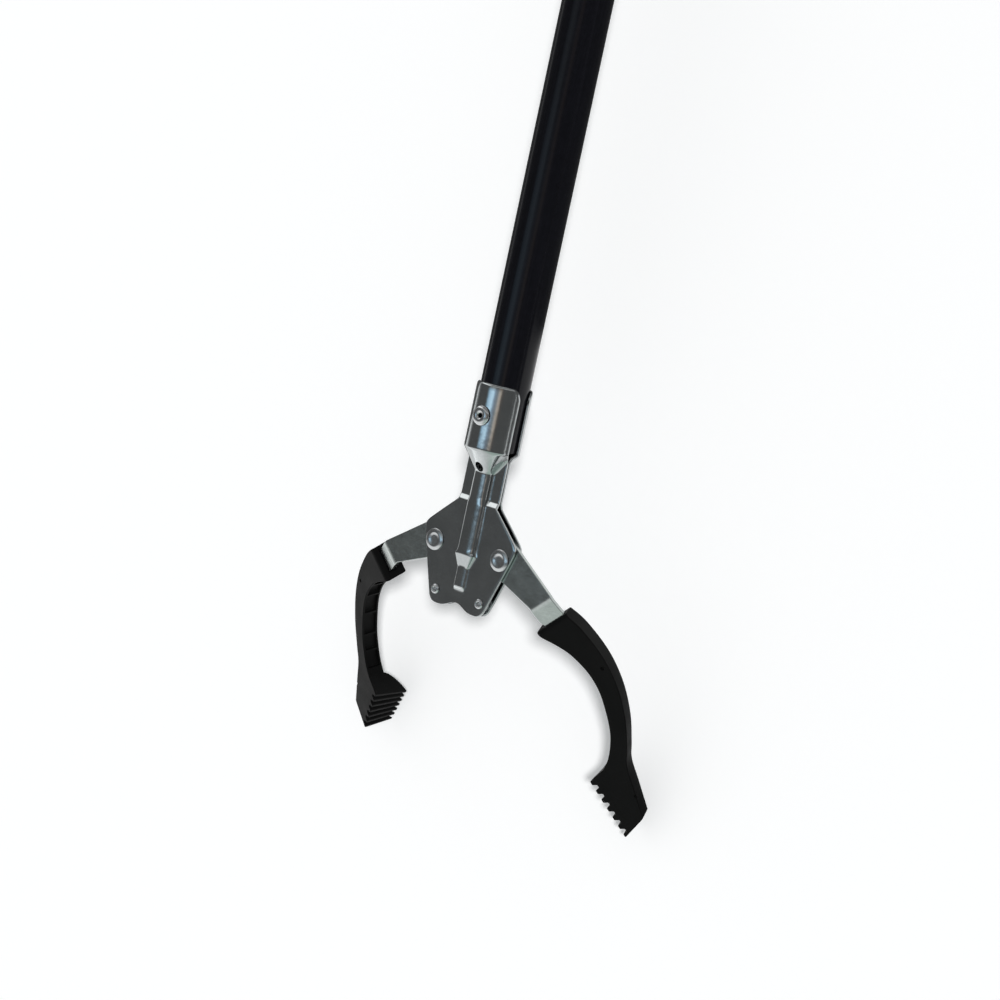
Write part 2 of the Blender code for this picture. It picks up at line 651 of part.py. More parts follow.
def arm_outline():
    """Outline of the right arm's blank: boss, inner lever, then the strip to the tang."""
    lever = pi + LEVER_OPEN
    along = Vector((cos(lever), sin(lever)))
    normal = Vector((-along.y, along.x))
    tip = PIVOT.xy + LEVER * along
    neck = [PIVOT.xy + (LEVER - LEVER_NECK_LENGTH) * along + sign * LEVER_NECK * normal for sign in (-1, 1)]
    spread = asin(LEVER_NECK / LEVER_TIP)
    upper = pi / 2 - ARM_SLOPE
    points = arc(PIVOT, ARM_SHOULDER, upper, upper + ARM_SHOULDER_TURN, 2)
    points += arc(PIVOT, ARM_BOSS, pi - ARM_SLOPE, lever - LEVER_ROOT_HALF_ANGLE)
    points.append(tuple(neck[0]))
    points += arc(tip, LEVER_TIP, lever - pi + spread, lever + pi - spread, 2 * ARC_STEPS)
    points.append(tuple(neck[1]))
    points += arc(PIVOT, ARM_BOSS, lever + LEVER_ROOT_HALF_ANGLE, 3 * pi / 2 - ARM_SLOPE, 2)
    return points + tang_outline(0, 0)


def jaw_arm_mesh():
    half = ARM_THICKNESS / 2
    through = half + OVERCUT
    blank = add_cutter("arm_blank", slab("arm_blank", arm_outline(), -half, half))
    pin_place = (*on_blank(*COVER_PIN_AT), 0)
    cut(blank, "pivot", rod_mesh("pivot", PIVOT_SHANK + GAP, PIVOT, ALONG_Z, -through, through))
    pin_hole = COVER_PIN_RADIUS + GAP
    cut(blank, "pin", rod_mesh("pin", pin_hole, pin_place, ALONG_Z, -through, through, PIN_SIDES))
    mesh = evaluated_mesh(blank)
    shape = bmesh.new()
    shape.from_mesh(mesh)
    for step in range(BEND_STEPS + 1):
        place = BEND_CENTRE + BEND_ARC * step / BEND_STEPS * REACH
        everything = shape.verts[:] + shape.edges[:] + shape.faces[:]
        bmesh.ops.bisect_plane(shape, geom=everything, dist=WELD / 10, plane_co=place, plane_no=REACH)
    shape.to_mesh(mesh)
    shape.free()
    return bend(mesh)


def ridge_line():
    """The pad's gripping face from heel to toe: flat crests with sloped sides."""
    heel, toe = Vector(PAD_HEEL), Vector(PAD_TOE)
    pitch = (toe - heel) / (RIDGE_COUNT - 1 + RIDGE_CREST)
    inward = Vector((pitch.y, -pitch.x)).normalized() * -RIDGE_HEIGHT
    points = []
    for ridge in range(RIDGE_COUNT):
        crest = heel + pitch * ridge
        points += [crest, crest + pitch * RIDGE_CREST]
        if ridge < RIDGE_COUNT - 1:
            points += [crest + pitch * place + inward for place in VALLEY]
    return [tuple(point) for point in points]


def cover_solid(shape):
    """The finger and its pad from one outline, the pad's back sloping out to its gripping face."""
    outer = smooth(COVER_OUTER)
    inner = smooth(COVER_INNER)
    split = tuple(Vector(COVER_CORNER).lerp(PAD_TOE, PAD_SPLIT))
    finger = outer + [COVER_CORNER, split] + inner
    pad = [inner[0], split] + ridge_line()[::-1] + [PAD_TOP]
    slope = Vector(split) - Vector(inner[0])
    fall = Vector((slope.y, -slope.x)).normalized()
    steepness = (PAD_DEPTH - COVER_DEPTH) / fall.dot(Vector(PAD_HEEL) - Vector(inner[0]))
    for height in (1, -1):
        corners = {}
        for point in finger + pad:
            depth = height * COVER_DEPTH / 2
            if point in pad and height < 0:
                depth -= max(0, fall.dot(Vector(point) - Vector(inner[0])) * steepness)
            if point not in corners:
                corners[point] = shape.verts.new((*on_blank(*point), depth))
        for outline in (finger, pad):
            shape.faces.new([corners[point] for point in outline])
    bmesh.ops.bridge_loops(shape, edges=[edge for edge in shape.edges if edge.is_boundary])


def finger_cells():
    """Outlines of the shallow cells moulded into the finger's inner side."""
    edge = [point for point in smooth(COVER_INNER) if CELL_FIRST <= point[0] <= CELL_LAST]
    edge.sort()
    span = (len(edge) - 1) / CELL_COUNT
    cells = []
    for cell in range(CELL_COUNT):
        first, last = round(cell * span), round((cell + 1) * span)
        run = [Vector(point) for point in edge[first:last + 1]]
        along = (run[-1] - run[0]).normalized()
        inward = Vector((-along.y, along.x))
        run[0] = run[0] + along * CELL_WALL / 2
        run[-1] = run[-1] - along * CELL_WALL / 2
        mouth = [point - inward * OVERCUT for point in run]
        floor = [point + inward * CELL_DEPTH for point in reversed(run)]
        cells.append([on_blank(*point) for point in mouth + floor])
    return cells


def jaw_cover_mesh():
    blank = add_cutter("cover_blank", edit_mesh("cover_blank", cover_solid))
    half = ARM_THICKNESS / 2 + GAP
    cut(blank, "socket", slab("socket", tang_outline(GAP, 0), -half, half))
    pin_place = (*on_blank(*COVER_PIN_AT), 0)
    reach = COVER_DEPTH / 2 + OVERCUT
    cut(blank, "pin", rod_mesh("pin", COVER_PIN_RADIUS + GAP, pin_place, ALONG_Z, -reach, reach, PIN_SIDES))
    depth = COVER_DEPTH / 2 - CELL_WALL
    for number, outline in enumerate(finger_cells()):
        cut(blank, f"cell_{number}", slab("cell", outline, -depth, depth))
    return bend(evaluated_mesh(blank))


def cover_pin_mesh():
    place = (*on_blank(*COVER_PIN_AT), 0)
    reach = COVER_DEPTH / 2 - COVER_PIN_RECESS
    return bend(rod_mesh("cover_pin", COVER_PIN_RADIUS, place, ALONG_Z, -reach, reach, PIN_SIDES))


def jaws(left_axis, right_axis):
    meshes = (
        ("jaw_arm", jaw_arm_mesh(), ZINC), ("jaw_cover", jaw_cover_mesh(), BLACK_RUBBER),
        ("cover_pin", cover_pin_mesh(), STEEL),
    )
    for name, mesh, finish in meshes:
        add_part("left_" + name, reflected(mesh, (1, 0, 0)), finish, left_axis)
        add_part("right_" + name, mesh, finish, right_axis)


# Pole, rod and spring

def tube_mesh(name, bore, radius, start, end, sides=RIVET_SIDES):
    """A tube along the pole's axis."""
    profile = [(bore, end), (radius, end), (radius, start), (bore, start)]
    return turned_mesh(name, profile, (0, 0, 0), ALONG_Y, sides, True)


def pole(frame):
    mesh = tube_mesh("pole", POLE_BORE, POLE_RADIUS, POLE_START, POLE_END, POLE_SIDES)
    tube = add_part("pole_tube", mesh, BLACK_ENAMEL, frame)
    reach = POLE_RADIUS + OVERCUT
    hole = FERRULE_RIVET_SHANK + GAP
    place = (0, FERRULE_RIVET_AT, 0)
    cut(tube, "rivets", rod_mesh("rivets", hole, place, ALONG_Z, -reach, reach, PIN_SIDES))


def guide_bushes(frame):
    """A plain bush in the pole's mouth and one that the spring bears on."""
    outside = POLE_BORE - GAP
    bore = ROD_RADIUS + SLIDE
    for name, start in (("front", POLE_START), ("rear", SPRING_START + SPRING_LENGTH + GAP)):
        mesh = tube_mesh("bush", bore, outside, start, start + BUSH_LENGTH)
        add_part(name + "_guide_bush", mesh, PALE_PLASTIC, frame)


def spring_points():
    """Centreline of the return spring, a plain helix."""
    steps = SPRING_CURLS * SPRING_POINTS
    start = SPRING_START + SPRING_WIRE
    length = SPRING_LENGTH - 2 * SPRING_WIRE
    turns = [2 * pi * step / SPRING_POINTS for step in range(steps + 1)]
    return [
        Vector((SPRING_RADIUS * cos(a), start + length * step / steps, SPRING_RADIUS * sin(a)))
        for step, a in enumerate(turns)]


def return_spring(frame):
    points = spring_points()
    neighbours = SPRING_POINTS // 2
    gap = min(
        (a - b).length for i, a in enumerate(points) for b in points[i + neighbours:]) - 2 * SPRING_WIRE
    print("least gap of the return spring to itself, mm:", round(gap * 1000, 2))
    curve = bpy.data.curves.new("return_spring", "CURVE")
    curve.dimensions = "3D"
    curve.bevel_depth = SPRING_WIRE
    curve.bevel_resolution = 1
    curve.use_fill_caps = True
    add_part("return_spring", curve_mesh(curve, points, False), STEEL, frame)


def crosshead_outline():
    """Right half from the foot up: two horns with a notch between them, then the tongue."""
    horn = NOTCH_HALF_HEIGHT + HORN_LENGTH
    mouth = NOTCH_HALF_HEIGHT + NOTCH_LEAD
    half = [
        (HORN_HALF_WIDTH, -horn), (HORN_HALF_WIDTH, -mouth), (WEB_HALF_WIDTH, -NOTCH_HALF_HEIGHT),
        (WEB_HALF_WIDTH, NOTCH_HALF_HEIGHT), (HORN_HALF_WIDTH, mouth), (HORN_HALF_WIDTH, horn - NOTCH_LEAD),
        (TONGUE_HALF_WIDTH, horn), (TONGUE_HALF_WIDTH, horn + TONGUE_LENGTH),
    ]
    whole = half + [(-x, y) for x, y in reversed(half)]
    return [(x, y + CROSSHEAD_Y) for x, y in whole]


def pull_rod(slider):
    half = ARM_THICKNESS / 2
    pin_hole = CLEVIS_PIN_RADIUS + GAP
    crosshead = add_part("crosshead", slab("crosshead", crosshead_outline(), -half, half), STEEL, slider)
    through = half + OVERCUT
    pin_place = (0, CLEVIS_PIN_Y, 0)
    cut(crosshead, "pin", rod_mesh("pin", pin_hole, pin_place, ALONG_Z, -through, through, PIN_SIDES))

    socket = ROD_RADIUS + GAP
    floor = CLEVIS_TOP - CLEVIS_SOCKET
    profile = [
        (0, floor), (socket, floor), (socket, CLEVIS_TOP), (CLEVIS_RADIUS, CLEVIS_TOP),
        (CLEVIS_RADIUS, CLEVIS_FOOT), (0, CLEVIS_FOOT),
    ]
    clevis = add_part("rod_clevis", turned_mesh("clevis", profile, (0, 0, 0), ALONG_Y), STEEL, slider)
    slot_top = CLEVIS_FOOT + TONGUE_LENGTH + GAP
    wide = CLEVIS_RADIUS + OVERCUT
    slot = box("slot", (-wide, CLEVIS_FOOT - OVERCUT, -half - GAP), (wide, slot_top, half + GAP))
    cut(clevis, "slot", slot)
    cut(clevis, "pin", rod_mesh("pin", pin_hole, pin_place, ALONG_Z, -wide, wide, PIN_SIDES))
    reach = CLEVIS_RADIUS - GAP
    pin = rod_mesh("pin", CLEVIS_PIN_RADIUS, pin_place, ALONG_Z, -reach, reach, PIN_SIDES)
    add_part("clevis_pin", pin, STEEL, slider)

    bar = rod_mesh("rod", ROD_RADIUS, (0, 0, 0), ALONG_Y, floor + GAP, CROSS_PIN_Y + ROD_TAIL, PIN_SIDES)
    rod = add_part("pull_rod", bar, STEEL, slider)
    place = (0, CROSS_PIN_Y, 0)
    through = ROD_RADIUS + OVERCUT
    cut(rod, "pin", rod_mesh("pin", CROSS_PIN_RADIUS + GAP, place, ALONG_X, -through, through, PIN_SIDES))
    reach = TRIGGER_HALF_WIDTH - CROSS_PIN_RECESS
    cross_pin = rod_mesh("cross_pin", CROSS_PIN_RADIUS, place, ALONG_X, -reach, reach, PIN_SIDES)
    add_part("rod_cross_pin", cross_pin, STEEL, slider)

    top = SPRING_START - GAP
    collar = tube_mesh("collar", socket, COLLAR_RADIUS, top - COLLAR_LENGTH, top)
    add_part("spring_collar", collar, STEEL, slider)


# Trigger and handle

def trigger_outline():
    """About the pivot at half pull: boss, front edge, toe, rear edge."""
    tilt = atan2(TRIGGER_BOSS / 2, TRIGGER_BOSS)
    boss = arc((0, 0), TRIGGER_BOSS, -tilt, pi + tilt, 2 * ARC_STEPS)
    blade = smooth(TRIGGER_FRONT) + [TRIGGER_TOE] + smooth(TRIGGER_REAR)
    return boss + [(y, -TRIGGER_ARM - drop) for y, drop in blade]


def is_rim(half_width):
    """A test for the edges round the flat side of a piece, at this distance from the mid plane."""
    def chosen(edge):
        on_side = all(abs(abs(vertex.co.x) - half_width) < 10 * WELD for vertex in edge.verts)
        return on_side and edge.calc_face_angle(0) > RIM_ANGLE
    return chosen


def trigger(axis):
    wide = TRIGGER_HALF_WIDTH
    blank = slab("trigger", trigger_outline(), -wide, wide)
    blank.transform(SIDEWAYS)
    soften(blank, TRIGGER_ROUNDING, is_rim(wide))
    body = add_cutter("trigger_blank", blank)
    through = wide + OVERCUT
    cut(body, "pivot", rod_mesh("pivot", TRIGGER_PIN_RADIUS + SLIDE, (0, 0, 0), ALONG_X, -through, through))
    slack = TRIGGER_ARM / cos(TRIGGER_HALF_TRAVEL) - TRIGGER_ARM
    depth = -TRIGGER_FRONT[1][0]
    lean = depth * tan(TRIGGER_HALF_TRAVEL) + ROD_RADIUS / cos(TRIGGER_HALF_TRAVEL)
    height = slack + lean + SLIDE
    half = ROD_RADIUS + 2 * SLIDE
    length = 2 * TRIGGER_BOSS
    window = box("window", (-half, -length, -TRIGGER_ARM - height), (half, length, height - TRIGGER_ARM))
    cut(body, "window", window)
    radius = CROSS_PIN_RADIUS + SLIDE
    slot = arc((0, -TRIGGER_ARM), radius, 0, pi) + arc((0, -TRIGGER_ARM - slack), radius, pi, 2 * pi)
    slot_mesh = slab("slot", slot, -through, through)
    slot_mesh.transform(SIDEWAYS)
    cut(body, "slot", slot_mesh)
    mesh = evaluated_mesh(body)
    mesh.transform(Matrix.Translation(TRIGGER_PIVOT) @ Matrix.Rotation(-TRIGGER_HALF_TRAVEL, 4, "X"))
    add_part("trigger_lever", mesh, GREY_PLASTIC, axis)


def grip_back(z):
    return GRIP_BACK + (GRIP_BACK_Z - z) / tan(GRIP_RAKE)


def grip_front(z):
    return grip_back(z) - GRIP_THICKNESS / sin(GRIP_RAKE)


def handle_outline(floor):
    """Side view from the pole's end: brow, raked back, square end, flat butt, underside, belly."""
    top = [(y, POLE_RADIUS + rise) for y, rise in HANDLE_TOP]
    top += [(TRIGGER_BACK + y, TRIGGER_ARM + rise) for y, rise in HANDLE_BROW]
    top = smooth(top + [(GRIP_BACK - GRIP_ROUND, GRIP_BACK_Z + GRIP_ROUND)])
    belly = [(y, -POLE_RADIUS - drop) for y, drop in HANDLE_BELLY]
    belly = smooth([(grip_front(GRIP_SHOULDER), GRIP_SHOULDER)] + belly)
    heel = floor + GRIP_HEEL
    butt = grip_back(heel) - GRIP_HEEL * tan(GRIP_RAKE)
    return top + [(grip_back(heel), heel), (butt, floor), (grip_front(floor), floor)] + belly


def well_outline():
    """Room for the trigger to swing between the shells, open at the bottom."""
    boss = TRIGGER_BOSS + 2 * SLIDE
    deep = GRIP_SHOULDER - 2 * TRIGGER_BOSS
    roof = arc((TRIGGER_BACK, TRIGGER_ARM), boss, 0, pi)
    front = TRIGGER_BACK - WELL_BEFORE
    return [(WELL_REAR, deep), (WELL_REAR, 0), *roof, (front, -TRIGGER_BOSS), (front, deep)]


def screw_places():
    front = (FRONT_SCREW[0], -POLE_RADIUS - FRONT_SCREW[1])
    brow = (TRIGGER_BACK + BROW_SCREW[0], BROW_SCREW[1])
    return [front, brow] + [((grip_back(z) + grip_front(z)) / 2, z) for z in GRIP_SCREW_HEIGHTS]


def pocket_outline(high, low):
    wall = GRIP_WALL / sin(GRIP_RAKE)
    front = max(grip_front(high) + wall, WELL_REAR + GRIP_WALL)
    back = grip_back(high) - wall
    return [(front, high), (grip_front(low) + wall, low), (grip_back(low) - wall, low), (back, high)]


def side_slab(name, outline, low, high):
    """An outline in the handle's side view, extruded along X."""
    mesh = slab(name, outline, low, high)
    mesh.transform(Matrix.Translation((0, POLE_END, 0)) @ SIDEWAYS)
    return mesh


def handle_shell(side, sign, floor, frame):
    low, high = sorted((sign * GAP / 2, sign * HANDLE_HALF_WIDTH))
    mesh = soften(
        side_slab("shell", handle_outline(floor), low, high), HANDLE_ROUNDING, is_rim(HANDLE_HALF_WIDTH))
    shell = add_part(side + "_handle_shell", mesh, BLACK_PLASTIC, frame)
    grasp = POLE_END - HANDLE_GRASP - OVERCUT
    bore = rod_mesh("bore", POLE_RADIUS + GAP, (0, 0, 0), ALONG_Y, grasp, POLE_END + GAP, POLE_SIDES)
    cut(shell, "bore", bore)
    guide_end = POLE_END + TRIGGER_BACK
    radius = ROD_RADIUS + GUIDE_SLACK
    guide = rod_mesh("guide", radius, (0, 0, 0), ALONG_Y, POLE_END - OVERCUT, guide_end)
    cut(shell, "guide", guide)
    width = TRIGGER_HALF_WIDTH + 2 * SLIDE
    cut(shell, "well", side_slab("well", well_outline(), -width, width))
    depth = HANDLE_HALF_WIDTH - GRIP_WALL
    for number, (top, bottom) in enumerate(POCKET_HEIGHTS):
        outline = pocket_outline(top, bottom)
        cut(shell, f"pocket_{number}", side_slab("pocket", outline, -depth, depth))
    blind = TRIGGER_HALF_WIDTH + TRIGGER_PIN_BITE + GAP
    cut(shell, "pivot", rod_mesh("pivot", TRIGGER_PIN_RADIUS + GAP, TRIGGER_PIVOT, ALONG_X, -blind, blind))
    head_seat = HANDLE_HALF_WIDTH - SCREW_SINK - SCREW_HEAD_HEIGHT
    for number, (y, z) in enumerate(screw_places()):
        place = (0, POLE_END + y, z)
        far = HANDLE_HALF_WIDTH + OVERCUT
        hole = rod_mesh("screw", SCREW_SHANK + GAP, place, ALONG_X, -SCREW_BITE - GAP, far, PIN_SIDES)
        cut(shell, f"screw_{number}", hole)
        if sign > 0:
            sink = rod_mesh("sink", SCREW_HEAD + GAP, place, ALONG_X, head_seat - GAP, far)
            cut(shell, f"sink_{number}", sink)


def handle(floor, frame):
    handle_shell("left", -1, floor, frame)
    handle_shell("right", 1, floor, frame)
    seat = HANDLE_HALF_WIDTH - SCREW_SINK - SCREW_HEAD_HEIGHT
    profile = head_profile(PAN_HEAD, SCREW_HEAD, SCREW_HEAD_HEIGHT, seat)
    profile += [(SCREW_SHANK, seat), (SCREW_SHANK, -SCREW_BITE), (0, -SCREW_BITE)]
    for number, (y, z) in enumerate(screw_places(), 1):
        screw = turned_mesh("screw", profile, (0, POLE_END + y, z), ALONG_X, PIN_SIDES)
        add_part(f"handle_screw_{number}", screw, STEEL, frame)
    reach = TRIGGER_HALF_WIDTH + TRIGGER_PIN_BITE
    pin = rod_mesh("trigger_pin", TRIGGER_PIN_RADIUS, TRIGGER_PIVOT, ALONG_X, -reach, reach, PIN_SIDES)
    add_part("trigger_pivot_pin", pin, STEEL, frame)


def extents(parts):
    """Lowest and highest corner of some pieces."""
    points = [vertex.co.copy() for part in parts for vertex in evaluated_mesh(part).vertices]
    return [Vector(fold(point[i] for point in points) for i in range(3)) for fold in (min, max)]


root = carrier("reacher_root")
left_pivot = carrier("left_jaw_axis", (-PIVOT_X, 0, 0), root)
right_pivot = carrier("right_jaw_axis", PIVOT, root)
rod_slider = carrier("rod_axis", (0, CROSSHEAD_Y, 0), root)
trigger_axis = carrier("trigger_axis", TRIGGER_PIVOT, root)

head_plates(root)
head_rivets(root)
jaws(left_pivot, right_pivot)
pole(root)
guide_bushes(root)
return_spring(root)
pull_rod(rod_slider)
trigger(trigger_axis)

# The grip's butt is cut level with the open jaws' lowest edge, so that the tool rests with its pole level
jaw_floor = extents([bpy.data.objects["right_jaw_cover"]])[0].z
handle(jaw_floor, root)

# The origin is under the middle of the whole tool
lowest, highest = extents([part for part in PARTS.objects if part.type == "MESH"])
root.location = (-(lowest.x + highest.x) / 2, -(lowest.y + highest.y) / 2, -lowest.z)
for tool in CUTTERS.objects:
    tool.parent = root
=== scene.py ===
"""Looks of the reacher grabber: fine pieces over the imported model, materials, a floor, a light and a camera.

Shapes are made in the head frame: X across the head to the right, Y along the pole towards the handle,
Z out of the front plate, origin midway between the two jaw pivots. All sizes are in metres.
"""
import json
from math import asin, atan2, copysign, cos, pi, radians, sin, sqrt, tan

import bmesh
import bpy
from mathutils import Matrix, Vector


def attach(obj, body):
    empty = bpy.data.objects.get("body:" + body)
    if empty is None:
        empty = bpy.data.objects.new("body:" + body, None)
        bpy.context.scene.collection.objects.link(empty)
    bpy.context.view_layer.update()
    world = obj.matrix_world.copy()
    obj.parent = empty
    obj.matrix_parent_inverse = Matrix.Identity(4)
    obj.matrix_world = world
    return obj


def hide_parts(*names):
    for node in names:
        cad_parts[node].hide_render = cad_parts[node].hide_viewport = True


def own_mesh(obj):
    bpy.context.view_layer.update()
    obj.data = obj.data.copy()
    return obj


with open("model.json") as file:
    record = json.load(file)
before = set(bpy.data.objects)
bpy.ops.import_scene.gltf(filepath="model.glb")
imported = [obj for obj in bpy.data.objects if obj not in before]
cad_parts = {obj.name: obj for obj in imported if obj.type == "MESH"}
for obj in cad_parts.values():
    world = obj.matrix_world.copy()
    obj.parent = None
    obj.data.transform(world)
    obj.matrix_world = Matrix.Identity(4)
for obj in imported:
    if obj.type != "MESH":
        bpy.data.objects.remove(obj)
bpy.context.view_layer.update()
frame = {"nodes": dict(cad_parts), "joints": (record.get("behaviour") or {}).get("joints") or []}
NODES = frame["nodes"]
JOINTS = {joint["name"]: joint for joint in frame["joints"]}
LEFT_PIVOT = Vector(JOINTS["left_jaw_pivot"]["pos_m"])
RIGHT_PIVOT = Vector(JOINTS["right_jaw_pivot"]["pos_m"])
HEAD_ORIGIN = (LEFT_PIVOT + RIGHT_PIVOT) / 2
HEAD = Matrix.Translation(HEAD_ORIGIN)

GAP = 0.0003  # clearance of rivets, pins and sockets
SLIDE = 0.0004  # clearance of the trigger's moving fits
OVERCUT = 0.002  # how far cutters stick out
WELD = 0.000001  # sizes below this count as nothing
ARC_ROOM = 1.3  # points nearer to a corner than this many trims give way to its arc
SHARED_EDGE = 0.48  # of an edge, for the arc at either end
FREE_EDGE = 0.9  # of an edge with an arc at one end
LEAST_MITRE = 0.3  # keeps the mitres of sharp corners short

# Pole and head plates
POLE_RADIUS = 0.0111
POLE_BORE = 0.0099
POLE_START = 0.0462
POLE_END = 0.6462
POLE_LIP = 0.0003  # rounding of the tube's ends
POLE_RUNS = 12  # rings of faces along the tube
PLATE_THICKNESS = 0.0012
FERRULE_RADIUS = 0.0126
FERRULE_FOOT = 0.0454
FERRULE_TOP = 0.0749
FERRULE_CORNER = 0.0045  # rounding of the ferrule's upper corners
FERRULE_CORNER_ROOM = 0.01
FERRULE_SPAN = radians(75)
RIB_SHARE = 2 / 3  # of the ferrule's span that runs on into the rib
SHOULDER_FOOT = 0.0356
SHOULDER_SWEEP = 0.85  # how much shorter the shoulder is at the plate's sides
NECK_HALF_WIDTH = 0.0109
JOGGLE_TOP = 0.0238
PLATE_TOP = 0.0211
SIDE_HALF_WIDTH = 0.027
SIDE_HEIGHT = 0.0066
SIDE_ROUNDING = 0.0024
FOOT_HALF_WIDTH = 0.0149
FOOT_DEPTH = 0.0274
FOOT_ROUNDING = 0.0026
FOOT_ARCH_DEPTH = 0.003
FOOT_ARCH_HALF_WIDTH = 0.009
PLATE_FACE = 0.0026
FLANGE_FACE = 0.00135
RIB_TOP = 0.005
RIB_HALF_WIDTH = 0.005
RIB_END = -0.002
BEAD_TOP = -0.0075
BEAD_END = -0.0172
BEAD_FADE = 0.0009
BEAD_HALF_WIDTH = 0.003
BEAD_RISE = 0.001
SHOULDER_HOLE_AT = 0.0377
SHOULDER_HOLE_RADIUS = 0.0021
SHEET_ROUNDING = 0.00022
FERRULE_RIM = 0.001
RIB_POWER = 2.5  # squareness of the cross sections: 2 is an ellipse
FACET_POWER = 9
BEAD_POWER = 3
RIB_SQUARING = 0.0008  # length over which the rib squares up before its end
RIB_COLUMNS = 18
FLANGE_COLUMNS = 14
FLANGE_CROWDING = 1.35  # above 1 the flange's columns crowd towards the rib
FLANGE_STRIDES = [((k + 1) / FLANGE_COLUMNS) ** FLANGE_CROWDING for k in range(FLANGE_COLUMNS)]
ROW_PITCH = 0.0016  # usual distance between cross sections of the plate
LEAST_PITCH = 0.00004
CREASE_ROWS = (4, 0.0003)  # rows on either side of a crease, and their pitch
CORNER_ROWS = (6, 0.0005)
SHOULDER_ROWS = 16
RIM_ROWS = (0, 0.3, 0.6, 1, 1.6)
FOOT_ROWS = (0, 0.02, 0.08, 0.18, 0.32, 0.5, 0.75, 1)
EASING_ROUNDS = 3  # in which the plate's creases are eased
RIM_ANGLE = radians(40)  # sharper rim edges are rounded

# Rivets
PIVOT_X = 0.0188
PIVOT_SHANK = 0.0025
PIVOT_HEAD = 0.0049
PIVOT_HEAD_HEIGHT = 0.0007
EYELET_X = 0.0128
EYELET_Y = -0.0214
EYELET_BORE = 0.0009
EYELET_SHANK = 0.0015
EYELET_HEAD = 0.0022
EYELET_HEAD_HEIGHT = 0.0007
FERRULE_RIVET_AT = 0.0604
FERRULE_RIVET_BORE = 0.0011
FERRULE_RIVET_SHANK = 0.002
FERRULE_RIVET_HEAD = 0.0044
FERRULE_RIVET_HEAD_HEIGHT = 0.0013
FERRULE_RIVET_TAIL = 0.0014
DISHED_HEAD = (
    (0, 0.6), (0.28, 0.6), (0.4, 0.64), (0.5, 0.79), (0.6, 0.96), (0.66, 1), (0.73, 0.95), (0.83, 0.78),
    (0.92, 0.58), (0.98, 0.42), (1, 0.3), (1, 0),
)
ROLLED_HEAD = ((0, 0.55), (0.16, 0.86), (0.42, 1), (0.7, 0.84), (0.9, 0.52), (1, 0.2), (1, 0))

# Jaws
ARM_THICKNESS = 0.0022
ARM_BOSS = 0.0075
ARM_SHOULDER = 0.0096
ARM_SHOULDER_TURN = radians(30)
ARM_REACH = 0.0275
ARM_SLOPE = radians(26.3)
ARM_ROUNDING = 0.00028
BEND_LINE = radians(43.3)
BEND_ANGLE = radians(30)
BEND_RADIUS = 0.004
BEND_HALF_WIDTH = 0.006
BEND_STEPS = 12
TANG_LENGTH = 0.028
TANG_HALF_WIDTH = 0.0034
TANG_OFFSET = 0.0039
LEVER = 0.016
LEVER_OPEN = radians(18.2)
LEVER_TIP = 0.0014
LEVER_NECK = 0.001
LEVER_NECK_LENGTH = 0.0022
LEVER_ROOT_HALF_ANGLE = radians(26)
COVER_DEPTH = 0.0082
COVER_START = 0.007
LEFT_COVER_START = 0.0096  # the sleeves are pushed on by unequal amounts
RIGHT_COVER_START = 0.0094
COVER_END_LENGTH = 0.0032  # over which the sleeve's front thins towards its mouth
COVER_END_DROP = 0.0024
COVER_END_CREASES = (0.05, 0.14, 0.28, 0.48, 0.72, 1)
LEFT_LIP_START = 0.0038  # the left sleeve's rear wall reaches further up the arm
BACK_LIP_ROOM = 0.009
COVER_OUTER = (
    (COVER_START, 0.0082), (0.019, 0.01), (0.035, 0.0093), (0.05, 0.005), (0.064, -0.0025),
    (0.075, -0.011), (0.082, -0.0168), (0.092, -0.0213), (0.1063, -0.0277),
)
COVER_INNER = (
    (0.0778, -0.028), (0.075, -0.0227), (0.07, -0.017), (0.064, -0.012), (0.055, -0.007),
    (0.0456, -0.0031), (0.036, -0.0016), (0.026, -0.0026), (0.0193, -0.005), (0.0127, -0.0084),
    (COVER_START, -0.0097),
)
COVER_CORNER = (0.107, -0.0295)
COVER_ROUNDING = 0.00045
PAD_TOP = (0.0787, -0.0345)
PAD_HEEL = (0.0795, -0.0372)
PAD_TOE = (0.1103, -0.0418)
PAD_DEPTH = 0.0178
PAD_SPLIT = 0.45
RIDGE_COUNT = 7
RIDGE_HEIGHT = 0.0023
RIDGE_CREST = 0.4
RIDGE_ROUNDING = 0.00055
HEEL_LEAN = (0.47, -0.15)  # of the pad's back towards its toe and inwards, per depth
PAD_SWELL = 0.66  # below 1 the pad's back bulges out near its heel
PAD_CREASES = (0, 0.05, 0.12, 0.22, 0.36, 0.54, 0.76)
VALLEY = (0.55, 0.85)
CELL_COUNT = 6
CELL_FIRST = 0.0195
CELL_LAST = 0.0765
CELL_WALL = 0.001
CELL_DEPTH = 0.0016
CELL_ROUNDING = 0.0008
COVER_PIN_AT = (0.02, 0.004)
COVER_PIN_RADIUS = 0.0012
DIMPLES = ((0.0381, 0.0057), (0.0958, -0.0231))
DIMPLE_RADIUS = 0.0006
DIMPLE_MOUTH = 0.0014
DIMPLE_DEPTH = 0.0008

# Spring
SPRING_START = 0.084
SPRING_LENGTH = 0.038
SPRING_RADIUS = 0.0045
SPRING_WIRE = 0.0006
SPRING_CURLS = 9
SPRING_CURL_POINTS = 36
SPRING_WIRE_SIDES = 12
ROD_RADIUS = 0.002

